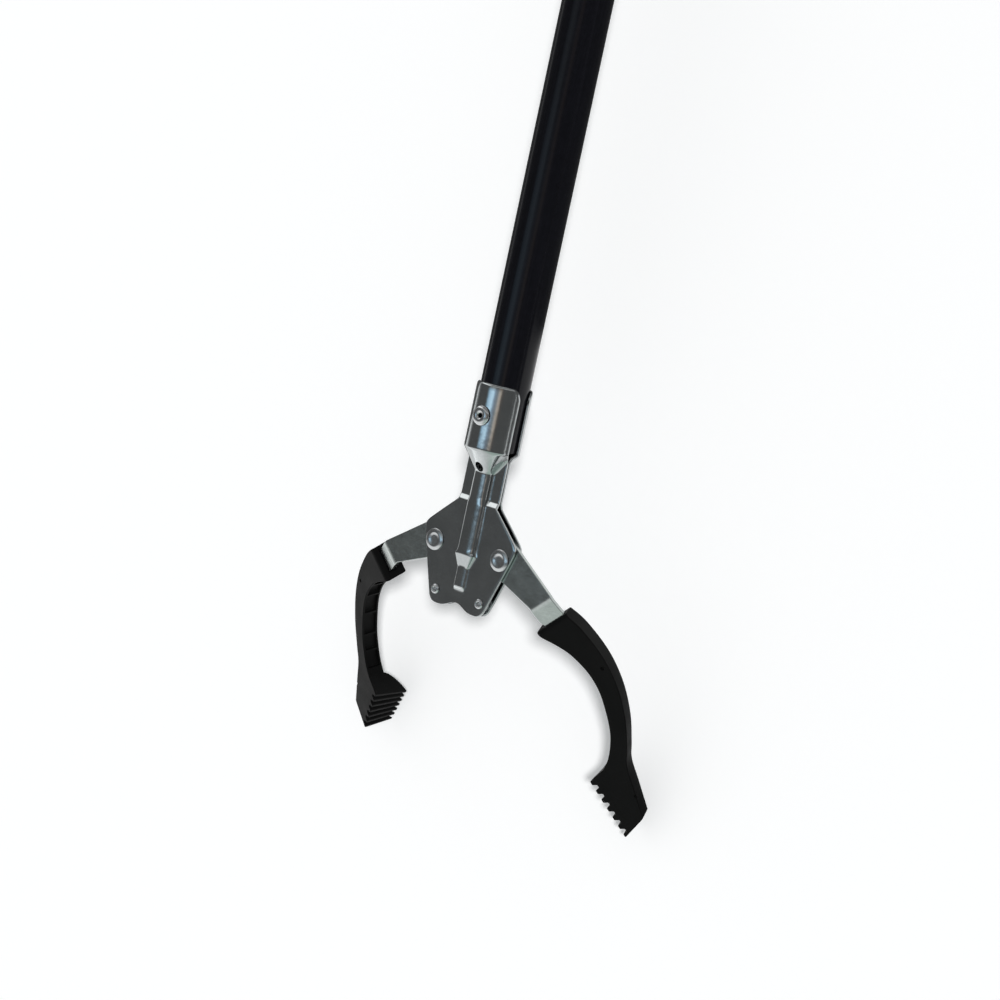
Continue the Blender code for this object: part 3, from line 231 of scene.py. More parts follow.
# Trigger
TRIGGER_ARM = 0.022
TRIGGER_BACK = 0.032
TRIGGER_HALF_WIDTH = 0.006
TRIGGER_BOSS = 0.007
TRIGGER_ROUNDING = 0.0016
TRIGGER_CORNER = 0.002
TRIGGER_FRONT = (
    (-0.0072, 0), (-0.011, 0.013), (-0.014, 0.0215), (-0.0105, 0.03),
    (-0.0045, 0.0385), (0.002, 0.0465), (0.006, 0.053), (0.0075, 0.0575),
)
TRIGGER_REAR = (
    (0.016, 0.0575), (0.0172, 0.0515), (0.014, 0.043), (0.0085, 0.034),
    (0.004, 0.025), (0.0055, 0.013), (0.0072, 0),
)
TRIGGER_TOE = (0.0118, 0.0602)
TRIGGER_PIN_RADIUS = 0.002
TRIGGER_HALF_TRAVEL = radians(JOINTS["trigger_pull"]["range_deg"][1]) / 2
TRIGGER_PIVOT = Vector((0, POLE_END + TRIGGER_BACK, TRIGGER_ARM))
CROSS_PIN_RADIUS = 0.0009

# Handle
HANDLE_HALF_WIDTH = 0.016
HANDLE_ROUNDING = 0.0045
HANDLE_CORNER = 0.005
SEAM_ROUNDING = 0.0004
SEAM_GAP = 0.00002  # the shells all but touch, so that no light comes through
HANDLE_GRASP = 0.05
HANDLE_TOP = ((-HANDLE_GRASP, 0.0039), (-0.008, 0.0059))
HANDLE_BROW = ((-0.018, 0.005), (0, 0.012), (0.017, 0.007))
HANDLE_BELLY = (
    (0.002, 0.0064), (-0.009, 0.0094), (-0.023, 0.0129), (-0.042, 0.0111), (-HANDLE_GRASP, 0.0039),
)
HANDLE_FLOOR = -HEAD_ORIGIN.z
GRIP_RAKE = radians(40)
GRIP_BACK = 0.076
GRIP_BACK_Z = 0.002
GRIP_THICKNESS = 0.034
GRIP_SHOULDER = -0.024
GRIP_ROUND = 0.006
GRIP_HEEL = 0.014
WELL_BEFORE = 0.027
WELL_BEHIND = 0.017
GUIDE_SLACK = 0.0014
SCREW_SHANK = 0.0015
SCREW_HEAD = 0.0028
SCREW_HEAD_HEIGHT = 0.0018
SCREW_SINK = 0.0024
SCREW_BITE = 0.008
SCREW_POINT = 0.002
SCREW_SEAT = HANDLE_HALF_WIDTH - SCREW_SINK - SCREW_HEAD_HEIGHT
SCREW_SLOT = (0.0017, 0.00042)  # half length and half width of each arm of the cross
SCREW_SLOT_DEPTH = 0.001
SCREW_TURN = 31  # degrees from one screw's cross to the next one's
SCREW_PLACES = ((-0.027, -0.0175), (0.0595, 0.006))
GRIP_SCREW_HEIGHTS = (-0.035, -0.0575)
PAN_HEAD = ((0, 1), (0.45, 0.98), (0.75, 0.88), (0.92, 0.68), (1, 0.42), (1, 0))
GROOVE_COUNT = 9
GROOVE_FIRST = -0.012  # height of the first groove
GROOVE_PITCH = 0.0048
GROOVE_RADIUS = 0.0011
GROOVE_DEPTH = 0.0008
GROOVE_HALF_LENGTH = 0.0105

# Directions and places
REACH = Vector((sin(BEND_LINE), -cos(BEND_LINE), 0))
OUTWARD = Vector((cos(BEND_LINE), sin(BEND_LINE), 0))
PIVOT = Vector((PIVOT_X, 0, 0))
BEND_CENTRE = PIVOT + ARM_REACH * Vector((cos(ARM_SLOPE), -sin(ARM_SLOPE), 0))
BEND_ARC = BEND_RADIUS * BEND_ANGLE
UP = Vector((0, 0, 1))
SIDEWAYS = Matrix(((0, 0, 1, 0), (1, 0, 0, 0), (0, 1, 0, 0), (0, 0, 0, 1)))  # X, Y and Z become Y, Z and X
ALONG_X = Matrix.Rotation(pi / 2, 4, "Y")
ALONG_Y = Matrix.Rotation(-pi / 2, 4, "X")
ALONG_Z = Matrix.Identity(4)


# Materials

class Nodes:
    """Short ways to add and link shader nodes."""

    def __init__(self, tree):
        self.tree = tree

    def node(self, kind, **inputs):
        node = self.tree.nodes.new("ShaderNode" + kind)
        for socket, value in inputs.items():
            self.feed(value, node.inputs[socket.replace("_", " ")])
        return node

    def output(self, kind, **inputs):
        return self.node(kind, **inputs).outputs[0]

    def feed(self, value, socket):
        if isinstance(value, bpy.types.NodeSocket):
            self.tree.links.new(value, socket)
        else:
            socket.default_value = value

    def ramp(self, value, *stops):
        """A run of colours, or of greys where a stop is one number."""
        node = self.node("ValToRGB", Fac=value)
        elements = node.color_ramp.elements
        while len(elements) < len(stops):
            elements.new(0.5)
        for element, (place, colour) in zip(elements, stops):
            element.position = place
            grey = isinstance(colour, (int, float))
            element.color = (colour, colour, colour, 1) if grey else (*colour, 1)
        return node.outputs["Color"]

    def spread(self, value, low, high, first=0.3, last=0.7):
        bounds = {"From_Min": first, "From_Max": last, "To_Min": low, "To_Max": high}
        return self.output("MapRange", Value=value, **bounds)

    def operate(self, kind, operation, values):
        node = self.node(kind)
        node.operation = operation
        for value, socket in zip(values, node.inputs):
            self.feed(value, socket)
        return node.outputs[0]

    def math(self, operation, *values):
        return self.operate("Math", operation, values)

    def vector(self, operation, *values):
        return self.operate("VectorMath", operation, values)

    def join(self, kind, *shaders, **inputs):
        """A mix or sum of two shaders, which are the node's last inputs."""
        node = self.node(kind, **inputs)
        for shader, socket in zip(shaders, node.inputs[-2:]):
            self.feed(shader, socket)
        return node.outputs[0]


class Finish(Nodes):
    """A material with one shader and textures laid in the piece's own coordinates."""

    def __init__(self, name, **constants):
        self.material = bpy.data.materials.new(name)
        self.material.use_nodes = True
        super().__init__(self.material.node_tree)
        self.shader = self.tree.nodes["Principled BSDF"]
        self.place = self.node("TexCoord").outputs["Object"]
        self.normal = None
        for socket, value in constants.items():
            self.shader.inputs[socket.replace("_", " ")].default_value = value

    def noise(self, scale, detail=4, stretch=(1, 1, 1)):
        place = self.output("Mapping", Vector=self.place, Scale=stretch)
        return self.output("TexNoise", Vector=place, Scale=scale, Detail=detail, Roughness=0.55)

    def cells(self, scale):
        texture = self.node("TexVoronoi", Vector=self.place, Scale=scale)
        texture.feature = "SMOOTH_F1"
        return texture.outputs["Distance"]

    def blend(self, a, b, share):
        return self.output("Mix", Factor=share, A=a, B=b)

    def bump(self, height, strength, distance):
        below = {"Normal": self.normal} if self.normal else {}
        self.normal = self.output("Bump", Height=height, Strength=strength, Distance=distance, **below)

    def finish(self, colour, roughness):
        self.feed(colour, self.shader.inputs["Base Color"])
        self.feed(roughness, self.shader.inputs["Roughness"])
        self.feed(self.normal, self.shader.inputs["Normal"])
        return self.material


def metal(name, dark, pale, roughness, grain_stretch=(1, 1, 1), grain=0.06, wave=0.02):
    """Bare or plated metal: cloudy mottling, fine grain, faint unevenness."""
    look = Finish(name, Metallic=1.0)
    clouds = look.noise(scale=110, detail=5)
    fine = look.noise(scale=1300, detail=3, stretch=grain_stretch)
    mixed = look.blend(clouds, fine, share=0.45)
    middle = [(a + b) / 2 for a, b in zip(dark, pale)]
    colour = look.ramp(mixed, (0.3, dark), (0.55, middle), (0.72, pale))
    look.bump(fine, strength=grain, distance=0.00004)
    look.bump(look.noise(scale=170, detail=2), strength=wave, distance=0.0004)
    return look.finish(colour, look.spread(mixed, *roughness))


def moulded(name, dark, pale, roughness, grain_scale, grain, **constants):
    """Moulded plastic or rubber: pebbled skin, slight clouding, duller and glossier patches."""
    look = Finish(name, **constants)
    clouds = look.noise(scale=90, detail=5)
    pebbles = look.cells(grain_scale)
    fine = look.noise(scale=grain_scale * 1.9, detail=3)
    mixed = look.blend(clouds, fine, share=0.4)
    colour = look.ramp(mixed, (0.32, dark), (0.7, pale))
    look.bump(pebbles, strength=grain, distance=0.00012)
    look.bump(fine, strength=grain * 0.6, distance=0.00006)
    return look.finish(colour, look.spread(mixed, *roughness))


def enamel(name):
    """Glossy black enamel on a drawn tube: faint orange peel, fine lengthwise scuffs."""
    look = Finish(name, Specular_IOR_Level=0.25)
    peel = look.noise(scale=420, detail=2)
    scuffs = look.noise(scale=900, stretch=(1, 0.02, 1))
    mixed = look.blend(peel, scuffs, share=0.6)
    colour = look.ramp(mixed, (0.3, (0.0022, 0.0023, 0.0034)), (0.72, (0.0048, 0.005, 0.0075)))
    look.bump(peel, strength=0.04, distance=0.0001)
    look.bump(scuffs, strength=0.02, distance=0.00004)
    return look.finish(colour, look.spread(mixed, 0.12, 0.22))


ZINC = metal("zinc_plate", (0.47, 0.5, 0.51), (0.61, 0.64, 0.64), (0.1, 0.16), wave=0.13)
ARM_ZINC = metal("zinc_strip", (0.46, 0.5, 0.49), (0.62, 0.67, 0.65), (0.19, 0.27), (0.3, 0.7, 1))
RIVET_ZINC = metal("zinc_rivet", (0.58, 0.6, 0.61), (0.72, 0.74, 0.75), (0.16, 0.26), grain=0.04)
STEEL = metal("plain_steel", (0.4, 0.41, 0.42), (0.58, 0.59, 0.6), (0.28, 0.42), (1, 0.05, 1), 0.12)
DARK_STEEL = metal("dark_pin", (0.05, 0.05, 0.055), (0.12, 0.12, 0.125), (0.4, 0.55))
RUBBER = moulded(
    "black_rubber", (0.0024, 0.0025, 0.0025), (0.0048, 0.005, 0.005), (0.4, 0.55), 900, 0.18,
    Specular_IOR_Level=0.07)
BLACK_PLASTIC = moulded(
    "black_plastic", (0.014, 0.014, 0.015), (0.024, 0.024, 0.026), (0.4, 0.56), 700, 0.4,
    Specular_IOR_Level=0.4)
GREY_PLASTIC = moulded(
    "grey_plastic", (0.095, 0.096, 0.1), (0.135, 0.136, 0.14), (0.36, 0.5), 800, 0.25)
PALE_PLASTIC = moulded(
    "pale_plastic", (0.66, 0.65, 0.61), (0.76, 0.75, 0.71), (0.36, 0.46), 600, 0.15)
ENAMEL = enamel("black_enamel")


# Helpers for pieces

def add_object(name, data):
    thing = bpy.data.objects.new(name, data)
    bpy.context.scene.collection.objects.link(thing)
    return thing


def place(name, mesh, material, body, slot, *nodes):
    """A finished piece that stands for some nodes and moves with a body."""
    mesh.transform(HEAD)
    mesh.materials.clear()
    mesh.materials.append(material)
    piece = add_object(name, mesh)
    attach(piece, body)
    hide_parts(*nodes)
    return piece


def weighted(piece):
    """Keep flat faces flat next to rounded edges."""
    modifier = piece.modifiers.new("flat_faces", "WEIGHTED_NORMAL")
    modifier.keep_sharp = True
    modifier.weight = 100
    return piece


def baked(shape, name):
    mesh = bpy.data.meshes.new(name)
    shape.to_mesh(mesh)
    shape.free()
    return mesh


def shaded(mesh, sharp=35):
    mesh.shade_smooth()
    mesh.set_sharp_from_angle(angle=radians(sharp))
    return mesh


def to_mesh(shape, name, sharp=35):
    bmesh.ops.recalc_face_normals(shape, faces=shape.faces)
    return shaded(baked(shape, name), sharp)


def joined(meshes):
    shape = bmesh.new()
    for mesh in meshes:
        shape.from_mesh(mesh)
    return baked(shape, "joined")


def reflected(mesh, normal):
    image = mesh.copy()
    image.transform(Matrix.Scale(-1, 4, normal))
    image.flip_normals()
    return image


def sideways(mesh, y=0.0):
    """Stand an outline of Y and Z up, with its thickness along X."""
    mesh.transform(Matrix.Translation((0, y, 0)) @ SIDEWAYS)
    return mesh


def carved(mesh, *cutters, sharp=35):
    """A mesh with some others cut out of it, one after another."""
    body = add_object("carved", mesh)
    tools = [add_object("cutter", cutter) for cutter in cutters]
    for tool in tools:
        modifier = body.modifiers.new("cut", "BOOLEAN")
        modifier.operation = "DIFFERENCE"
        modifier.solver = "EXACT"
        modifier.object = tool
    bpy.context.view_layer.update()
    graph = bpy.context.evaluated_depsgraph_get()
    result = bpy.data.meshes.new_from_object(body.evaluated_get(graph))
    for thing in (body, *tools):
        bpy.data.objects.remove(thing)
    return shaded(result, sharp)


def creased(shape, point, normal, weld=WELD):
    """New edges where a plane crosses a shape."""
    everything = shape.verts[:] + shape.edges[:] + shape.faces[:]
    bmesh.ops.bisect_plane(shape, geom=everything, dist=weld, plane_co=point, plane_no=normal)


def clamped(share):
    return min(1, max(0, share))


def between(a, b, share):
    return a + (b - a) * share


def dip(share):
    """Depth of a quarter circle of radius 1, from 0 at its flat end to 1 at its steep end."""
    return 1 - sqrt(1 - share ** 2)


def smooth(points, steps=8):
    """Points on a curve that passes through all the given ones."""
    ends = [points[0], *points, points[-1]]
    curve = []
    for a, b, c, d in zip(ends, ends[1:], ends[2:], ends[3:]):
        for step in range(steps):
            t = step / steps
            weights = (
                (-t + 2 * t ** 2 - t ** 3) / 2, (2 - 5 * t ** 2 + 3 * t ** 3) / 2,
                (t + 4 * t ** 2 - 3 * t ** 3) / 2, (t ** 3 - t ** 2) / 2,
            )
            curve.append(tuple(sum(w * p[i] for w, p in zip(weights, (a, b, c, d))) for i in (0, 1)))
    return curve + [tuple(points[-1])]


def arc(centre, radius, start, end, steps):
    angles = [start + (end - start) * step / steps for step in range(steps + 1)]
    return [(centre[0] + radius * cos(a), centre[1] + radius * sin(a)) for a in angles]


def oblong(half_length, half_width):
    x, y = half_length, half_width
    return [(-x, -y), (x, -y), (x, y), (-x, y)]


def rounded(points, radius, steps=6, least_turn=radians(24)):
    """A closed outline with its sharp corners rounded to arcs."""
    raw = [Vector(point) for point in points]
    line = [point for i, point in enumerate(raw) if (point - raw[i - 1]).length > WELD]

    def arms(i):
        return line[i - 1] - line[i], line[(i + 1) % len(line)] - line[i]

    def turn_at(i):
        one, two = arms(i)
        return pi - one.angle(two)

    turns = [turn_at(i) for i in range(len(line))]
    corners = [(line[i], radius * tan(turn / 2)) for i, turn in enumerate(turns) if turn > least_turn]

    def crowds(point):
        return any(0 < (point - corner).length < ARC_ROOM * reach for corner, reach in corners)

    kept = [i for i, turn in enumerate(turns) if turn > least_turn or not crowds(line[i])]
    line, sharp = [line[i] for i in kept], [turns[i] > least_turn for i in kept]
    result = []
    for i, corner in enumerate(line):
        if not sharp[i]:
            result.append(tuple(corner))
            continue
        turn = turn_at(i)
        rooms = [SHARED_EDGE if sharp[k] else FREE_EDGE for k in (i - 1, (i + 1) % len(line))]
        trim = min(radius * tan(turn / 2), *(arm.length * room for arm, room in zip(arms(i), rooms)))
        one, two = [arm.normalized() for arm in arms(i)]
        centre = corner + (one + two).normalized() * trim / sin(turn / 2)
        start, end = corner + one * trim - centre, corner + two * trim - centre
        for step in range(steps + 1):
            t = turn * step / steps
            result.append(tuple(centre + (start * sin(turn - t) + end * sin(t)) / sin(turn)))
    return result


def inset(points, distance):
    """A closed anticlockwise outline moved inwards."""
    result = []
    for i, corner in enumerate(points):
        one = (corner - points[i - 1]).normalized()
        two = (points[(i + 1) % len(points)] - corner).normalized()
        mitre = Vector((-one.y - two.y, one.x + two.x))
        result.append(corner + mitre * distance / max(LEAST_MITRE, 1 + one.dot(two)))
    return result


def skin(shape, rings):
    """Faces between closed rings, triangles where a ring is drawn together to a point."""
    for one, two in zip(rings, rings[1:]):
        for i in range(len(one)):
            k = (i + 1) % len(one)
            corners = list(dict.fromkeys((one[i], one[k], two[k], two[i])))
            if len(corners) > 2:
                shape.faces.new(corners)


def slab_shape(points, low, high, foot=0.0, crown=0.0, steps=4):
    """An outline raised between two heights, its lower and upper rims rounded."""
    line = [Vector(point) for point in points]
    if sum(a.cross(b) for a, b in zip(line, line[1:] + line[:1])) < 0:
        line.reverse()
    turns = [pi / 2 * step / steps for step in range(steps + 1)]
    rings = [(foot * (1 - sin(a)), low + foot * (1 - cos(a))) for a in turns] if foot else [(0, low)]
    upper = [(crown * (1 - sin(a)), high - crown * (1 - cos(a))) for a in turns] if crown else [(0, high)]
    rings += upper[::-1]
    shape = bmesh.new()
    loops = [[shape.verts.new((*point, z)) for point in inset(line, depth)] for depth, z in rings]
    shape.faces.new(loops[0][::-1])
    shape.faces.new(loops[-1])
    skin(shape, loops)
    return shape


def slab(*sizes):
    return to_mesh(slab_shape(*sizes), "slab")


def bar(radius, centre, low, high, along=ALONG_Z, sides=32, end_radius=None):
    shape = bmesh.new()
    bmesh.ops.create_cone(
        shape, cap_ends=True, segments=sides, radius1=radius, radius2=end_radius or radius,
        depth=high - low)
    mesh = to_mesh(shape, "bar")
    mesh.transform(Matrix.Translation(centre) @ along @ Matrix.Translation((0, 0, (low + high) / 2)))
    return mesh


def turned(profile, centre, along=ALONG_Z, sides=64, ring=False):
    """A profile of radius and height turned about an axis; on the axis it closes to a point."""
    shape = bmesh.new()
    turns = [2 * pi * step / sides for step in range(sides)]
    rings = []
    for radius, height in profile:
        if radius < WELD:
            rings.append([shape.verts.new((0, 0, height))] * sides)
        else:
            rings.append([shape.verts.new((radius * cos(a), radius * sin(a), height)) for a in turns])
    if ring:
        rings.append(rings[0])
    skin(shape, rings)
    mesh = to_mesh(shape, "turned", sharp=38)
    mesh.transform(Matrix.Translation(centre) @ along)
    return mesh


# Head plates

def side_width(y):
    """Half width of the five-sided plate, its side corner rounded."""
    upper_slope = (SIDE_HALF_WIDTH - NECK_HALF_WIDTH) / (PLATE_TOP - SIDE_HEIGHT)
    lower_slope = (SIDE_HALF_WIDTH - FOOT_HALF_WIDTH) / (SIDE_HEIGHT + FOOT_DEPTH)
    upper = SIDE_HALF_WIDTH - (y - SIDE_HEIGHT) * upper_slope
    lower = SIDE_HALF_WIDTH - (SIDE_HEIGHT - y) * lower_slope
    width = (upper + lower - sqrt((upper - lower) ** 2 + SIDE_ROUNDING ** 2)) / 2
    inside = max(0, FOOT_ROUNDING - (y + FOOT_DEPTH))
    return width - FOOT_ROUNDING + sqrt(max(0, FOOT_ROUNDING ** 2 - inside ** 2))


def rib_size(y):
    """Half width, top and squareness of the pressed rib, its bevelled end and the narrow bead below it."""
    bead_top = PLATE_FACE + BEAD_RISE
    power = between(RIB_POWER, FACET_POWER, clamped((RIB_END + RIB_SQUARING - y) / RIB_SQUARING))
    if y >= RIB_END:
        return RIB_HALF_WIDTH, RIB_TOP, power
    if y >= BEAD_TOP:
        t = (RIB_END - y) / (RIB_END - BEAD_TOP)
        return between(RIB_HALF_WIDTH, BEAD_HALF_WIDTH, t), between(RIB_TOP, bead_top, t), power
    return BEAD_HALF_WIDTH, bead_top - BEAD_RISE * clamped((BEAD_END - y) / BEAD_FADE), BEAD_POWER


def stamped_half(width, rib_width, rib_top, power, flange):
    """Half a cross section from the centreline out: a rounded rib, then a flat flange."""
    half = []
    for step in range(RIB_COLUMNS + 1):
        turn = pi / 2 * step / RIB_COLUMNS
        rise = max(0, cos(turn)) ** (2 / power)
        half.append((rib_width * sin(turn) ** (2 / power), between(flange, rib_top, rise)))
    return half + [(between(rib_width, width, t), flange) for t in FLANGE_STRIDES]


def ferrule_half():
    shares = [RIB_SHARE * step / RIB_COLUMNS for step in range(RIB_COLUMNS + 1)]
    shares += [between(RIB_SHARE, 1, t) for t in FLANGE_STRIDES]
    turns = [FERRULE_SPAN * share for share in shares]
    return [(FERRULE_RADIUS * sin(turn), FERRULE_RADIUS * cos(turn)) for turn in turns]


def foot_line(x):
    """Lower edge of the plate, arched in its middle."""
    turn = min(1, abs(x) / FOOT_ARCH_HALF_WIDTH) * pi / 2
    return -FOOT_DEPTH + FOOT_ARCH_DEPTH * cos(turn) ** 2


def rows_near(height, rows, pitch):
    return [height + pitch * k for k in range(-rows, rows + 1)]


def plate_stations():
    """Heights of the cross sections, close together where the sheet is creased."""
    heights = [FERRULE_TOP - FERRULE_RIM * k for k in RIM_ROWS]
    for crease in (FERRULE_FOOT, SHOULDER_FOOT, JOGGLE_TOP, PLATE_TOP, RIB_END, BEAD_TOP, BEAD_END):
        heights += rows_near(crease, *CREASE_ROWS)
    heights += rows_near(SIDE_HEIGHT, *CORNER_ROWS)
    heights += [between(SHOULDER_FOOT, FERRULE_FOOT, k / SHOULDER_ROWS) for k in range(1, SHOULDER_ROWS)]
    heights += [FOOT_ROUNDING * k - FOOT_DEPTH for k in FOOT_ROWS]
    heights.sort(reverse=True)
    stations = heights[:1]
    for y in heights[1:]:
        top = stations[-1]
        spare = top - y
        if spare >= LEAST_PITCH:
            parts = max(1, round(spare / ROW_PITCH))
            stations += [top - spare * (k + 1) / parts for k in range(parts)]
    return stations


def plate_rows():
    """Cross sections of the front plate's outer face, from the ferrule's rim to the foot."""
    ferrule = ferrule_half()
    rib = (RIB_HALF_WIDTH, RIB_TOP, RIB_POWER)
    neck = stamped_half(NECK_HALF_WIDTH, *rib, FLANGE_FACE)
    flange = [0] * (RIB_COLUMNS + 1) + FLANGE_STRIDES
    side_length = FERRULE_RADIUS * FERRULE_SPAN * (1 - RIB_SHARE)
    tail = BEAD_END - BEAD_FADE
    rows = []
    for y in plate_stations():
        heights = [y] * len(flange)
        if y >= SHOULDER_FOOT:
            tuck = 1 - FERRULE_RIM / FERRULE_RADIUS * dip(max(0, 1 - (FERRULE_TOP - y) / FERRULE_RIM))
            lift = max(0, 1 - (FERRULE_TOP - y) / FERRULE_CORNER_ROOM)
            half = []
            for i, (a, b, share) in enumerate(zip(ferrule, neck, flange)):
                length = (FERRULE_FOOT - SHOULDER_FOOT) * (1 - SHOULDER_SWEEP * share)
                t = clamped((FERRULE_FOOT - y) / length)
                half.append((between(a[0], b[0], t) * tuck, between(a[1], b[1], t) * tuck))
                corner = max(0, 1 - (1 - share) * side_length / FERRULE_CORNER)
                heights[i] -= FERRULE_CORNER * dip(corner) * lift
        elif y > PLATE_TOP:
            t = clamped((JOGGLE_TOP - y) / (JOGGLE_TOP - PLATE_TOP))
            width = between(NECK_HALF_WIDTH, side_width(PLATE_TOP), t)
            half = stamped_half(width, *rib, between(FLANGE_FACE, PLATE_FACE, t))
        else:
            half = stamped_half(side_width(y), *rib_size(y), PLATE_FACE)
            drop = max(0, (tail - y) / (tail + FOOT_DEPTH))
            heights = [between(tail, foot_line(x), drop) if drop else y for x, z in half]
        rows.append([Vector((x, height, z)) for (x, z), height in zip(half, heights)])
    return rows


def relaxed(line):
    """A line of points with its creases eased, its ends kept."""
    middle = [(a + 2 * b + c) / 4 for a, b, c in zip(line, line[1:], line[2:])]
    return [line[0], *middle, line[-1]]


def border(rows):
    """The points round the edge of a grid."""
    right = [row[-1] for row in rows[1:-1]]
    left = [row[0] for row in reversed(rows[1:-1])]
    return rows[0] + right + rows[-1][::-1] + left


def head_plate_mesh():
    grid = []
    for row in plate_rows():
        grid.append([Vector((-p.x, p.y, p.z)) for p in reversed(row[1:])] + row)
    for _ in range(EASING_ROUNDS):
        grid = [relaxed(row) for row in grid]
        columns = [relaxed(list(column)) for column in zip(*grid)]
        grid = [list(row) for row in zip(*columns)]
    shape = bmesh.new()
    outer = [[shape.verts.new(point) for point in row] for row in grid]
    for upper, lower in zip(outer, outer[1:]):
        for i in range(len(upper) - 1):
            shape.faces.new((upper[i], lower[i], lower[i + 1], upper[i + 1]))
    shape.normal_update()
    inner = [[shape.verts.new(v.co - v.normal * PLATE_THICKNESS) for v in row] for row in outer]
    for upper, lower in zip(inner, inner[1:]):
        for i in range(len(upper) - 1):
            shape.faces.new((upper[i], upper[i + 1], lower[i + 1], lower[i]))
    ring, back = border(outer), border(inner)
    skin(shape, (ring, back))
    bmesh.ops.recalc_face_normals(shape, faces=shape.faces)
    rims = (set(ring), set(back))
    edges = [edge for edge in shape.edges if any(rim.issuperset(edge.verts) for rim in rims)]
    edges = [edge for edge in edges if edge.calc_face_angle(0) > RIM_ANGLE]
    bmesh.ops.bevel(
        shape, geom=edges, offset=SHEET_ROUNDING, segments=2, profile=0.5, affect="EDGES",
        clamp_overlap=False)
    mesh = to_mesh(shape, "head_plate", sharp=60)
    reach = FERRULE_RADIUS + OVERCUT
    holes = [
        (PIVOT_SHANK + GAP, -PIVOT_X, 0), (PIVOT_SHANK + GAP, PIVOT_X, 0),
        (EYELET_SHANK + GAP, -EYELET_X, EYELET_Y), (EYELET_SHANK + GAP, EYELET_X, EYELET_Y),
        (FERRULE_RIVET_SHANK + GAP, 0, FERRULE_RIVET_AT), (SHOULDER_HOLE_RADIUS, 0, SHOULDER_HOLE_AT),
    ]
    cutter = joined([bar(radius, (x, y, 0), 0, reach) for radius, x, y in holes])
    return carved(mesh, cutter, sharp=50)


def on_both_faces(mesh, name, material, node):
    """A front piece and its mirror image on the rear face of the head."""
    for face, image in (("front_", mesh), ("rear_", reflected(mesh, UP))):
        place(face + name, image, material, "frame", "zinc_plated_steel", face + node)


def head_plates():
    on_both_faces(head_plate_mesh(), "stamping", ZINC, "head_plate")


# Rivets

def head_profile(shares, radius, height, seat, bore=0.0):
    span = radius - bore
    return [(bore + a * span, seat + b * height) for a, b in smooth(shares, 4)]


def both_ends(upper):
    return upper + [(radius, -z) for radius, z in reversed(upper)]


def head_rivets():
    seat = PLATE_FACE + GAP
    dished = head_profile(DISHED_HEAD, PIVOT_HEAD, PIVOT_HEAD_HEIGHT, seat) + [(PIVOT_SHANK, seat)]
    rolled = head_profile(ROLLED_HEAD, EYELET_HEAD, EYELET_HEAD_HEIGHT, seat, EYELET_BORE)
    rolled.append((EYELET_SHANK, seat))
    for side, sign in (("left", -1), ("right", 1)):
        mesh = turned(both_ends(dished), (sign * PIVOT_X, 0, 0))
        place(side + "_dished_rivet", mesh, RIVET_ZINC, "frame", "zinc_plated_steel", side + "_pivot_rivet")
        mesh = turned(both_ends(rolled), (sign * EYELET_X, EYELET_Y, 0), sides=40, ring=True)
        place(side + "_rolled_eyelet", mesh, RIVET_ZINC, "frame", "zinc_plated_steel", side + "_eyelet")
    seat = FERRULE_RADIUS + GAP
    tail = POLE_BORE - GAP
    end = tail - FERRULE_RIVET_TAIL
    profile = head_profile(
        ROLLED_HEAD, FERRULE_RIVET_HEAD, FERRULE_RIVET_HEAD_HEIGHT, seat, FERRULE_RIVET_BORE)
    profile += [
        (FERRULE_RIVET_SHANK, seat), (FERRULE_RIVET_SHANK, tail), (FERRULE_RIVET_SHANK + GAP, tail - GAP),
        (FERRULE_RIVET_SHANK, end), (FERRULE_RIVET_BORE, end),
    ]
    mesh = turned(profile, (0, FERRULE_RIVET_AT, 0), sides=56, ring=True)
    on_both_faces(mesh, "blind_rivet", RIVET_ZINC, "ferrule_rivet")


# Jaws

def on_blank(reach, outward):
    """A point of the flat finger, before the bend, in the plane of the head."""
    return BEND_CENTRE + reach * REACH + outward * OUTWARD


def bend(mesh):
    """Roll everything beyond the bend line back about it."""
    for vertex in mesh.vertices:
        offset = vertex.co - BEND_CENTRE
        reach = offset.dot(REACH)
        if reach <= 0:
            continue
        turn = min(reach / BEND_RADIUS, BEND_ANGLE)
        straight = max(0, reach - BEND_ARC)
        radius = BEND_RADIUS + offset.z
        along = radius * sin(turn) + straight * cos(turn)
        height = radius * cos(turn) - BEND_RADIUS - straight * sin(turn)
        vertex.co = BEND_CENTRE + along * REACH + offset.dot(OUTWARD) * OUTWARD + height * UP
    return mesh


def tang_outline(clearance):
    near = BEND_HALF_WIDTH + clearance
    end = TANG_LENGTH + clearance
    far = TANG_HALF_WIDTH + clearance
    spots = (
        (0, -near), (COVER_START, -near), (end, TANG_OFFSET - far),
        (end, TANG_OFFSET + far), (COVER_START, near), (0, near),
    )
    return [on_blank(*spot).xy for spot in spots]


def arm_outline():
    lever = pi + LEVER_OPEN
    along = Vector((cos(lever), sin(lever)))
    normal = Vector((-along.y, along.x))
    tip = PIVOT.xy + LEVER * along
    neck = [PIVOT.xy + (LEVER - LEVER_NECK_LENGTH) * along + sign * LEVER_NECK * normal for sign in (-1, 1)]
    spread = asin(LEVER_NECK / LEVER_TIP)
    upper = pi / 2 - ARM_SLOPE
    points = arc(PIVOT, ARM_SHOULDER, upper, upper + ARM_SHOULDER_TURN, steps=8)
    points += arc(PIVOT, ARM_BOSS, pi - ARM_SLOPE, lever - LEVER_ROOT_HALF_ANGLE, steps=12)
    points.append(neck[0])
    points += arc(tip, LEVER_TIP, lever - pi + spread, lever + pi - spread, steps=24)
    points.append(neck[1])
    points += arc(PIVOT, ARM_BOSS, lever + LEVER_ROOT_HALF_ANGLE, 3 * pi / 2 - ARM_SLOPE, steps=6)
    return points + tang_outline(0)


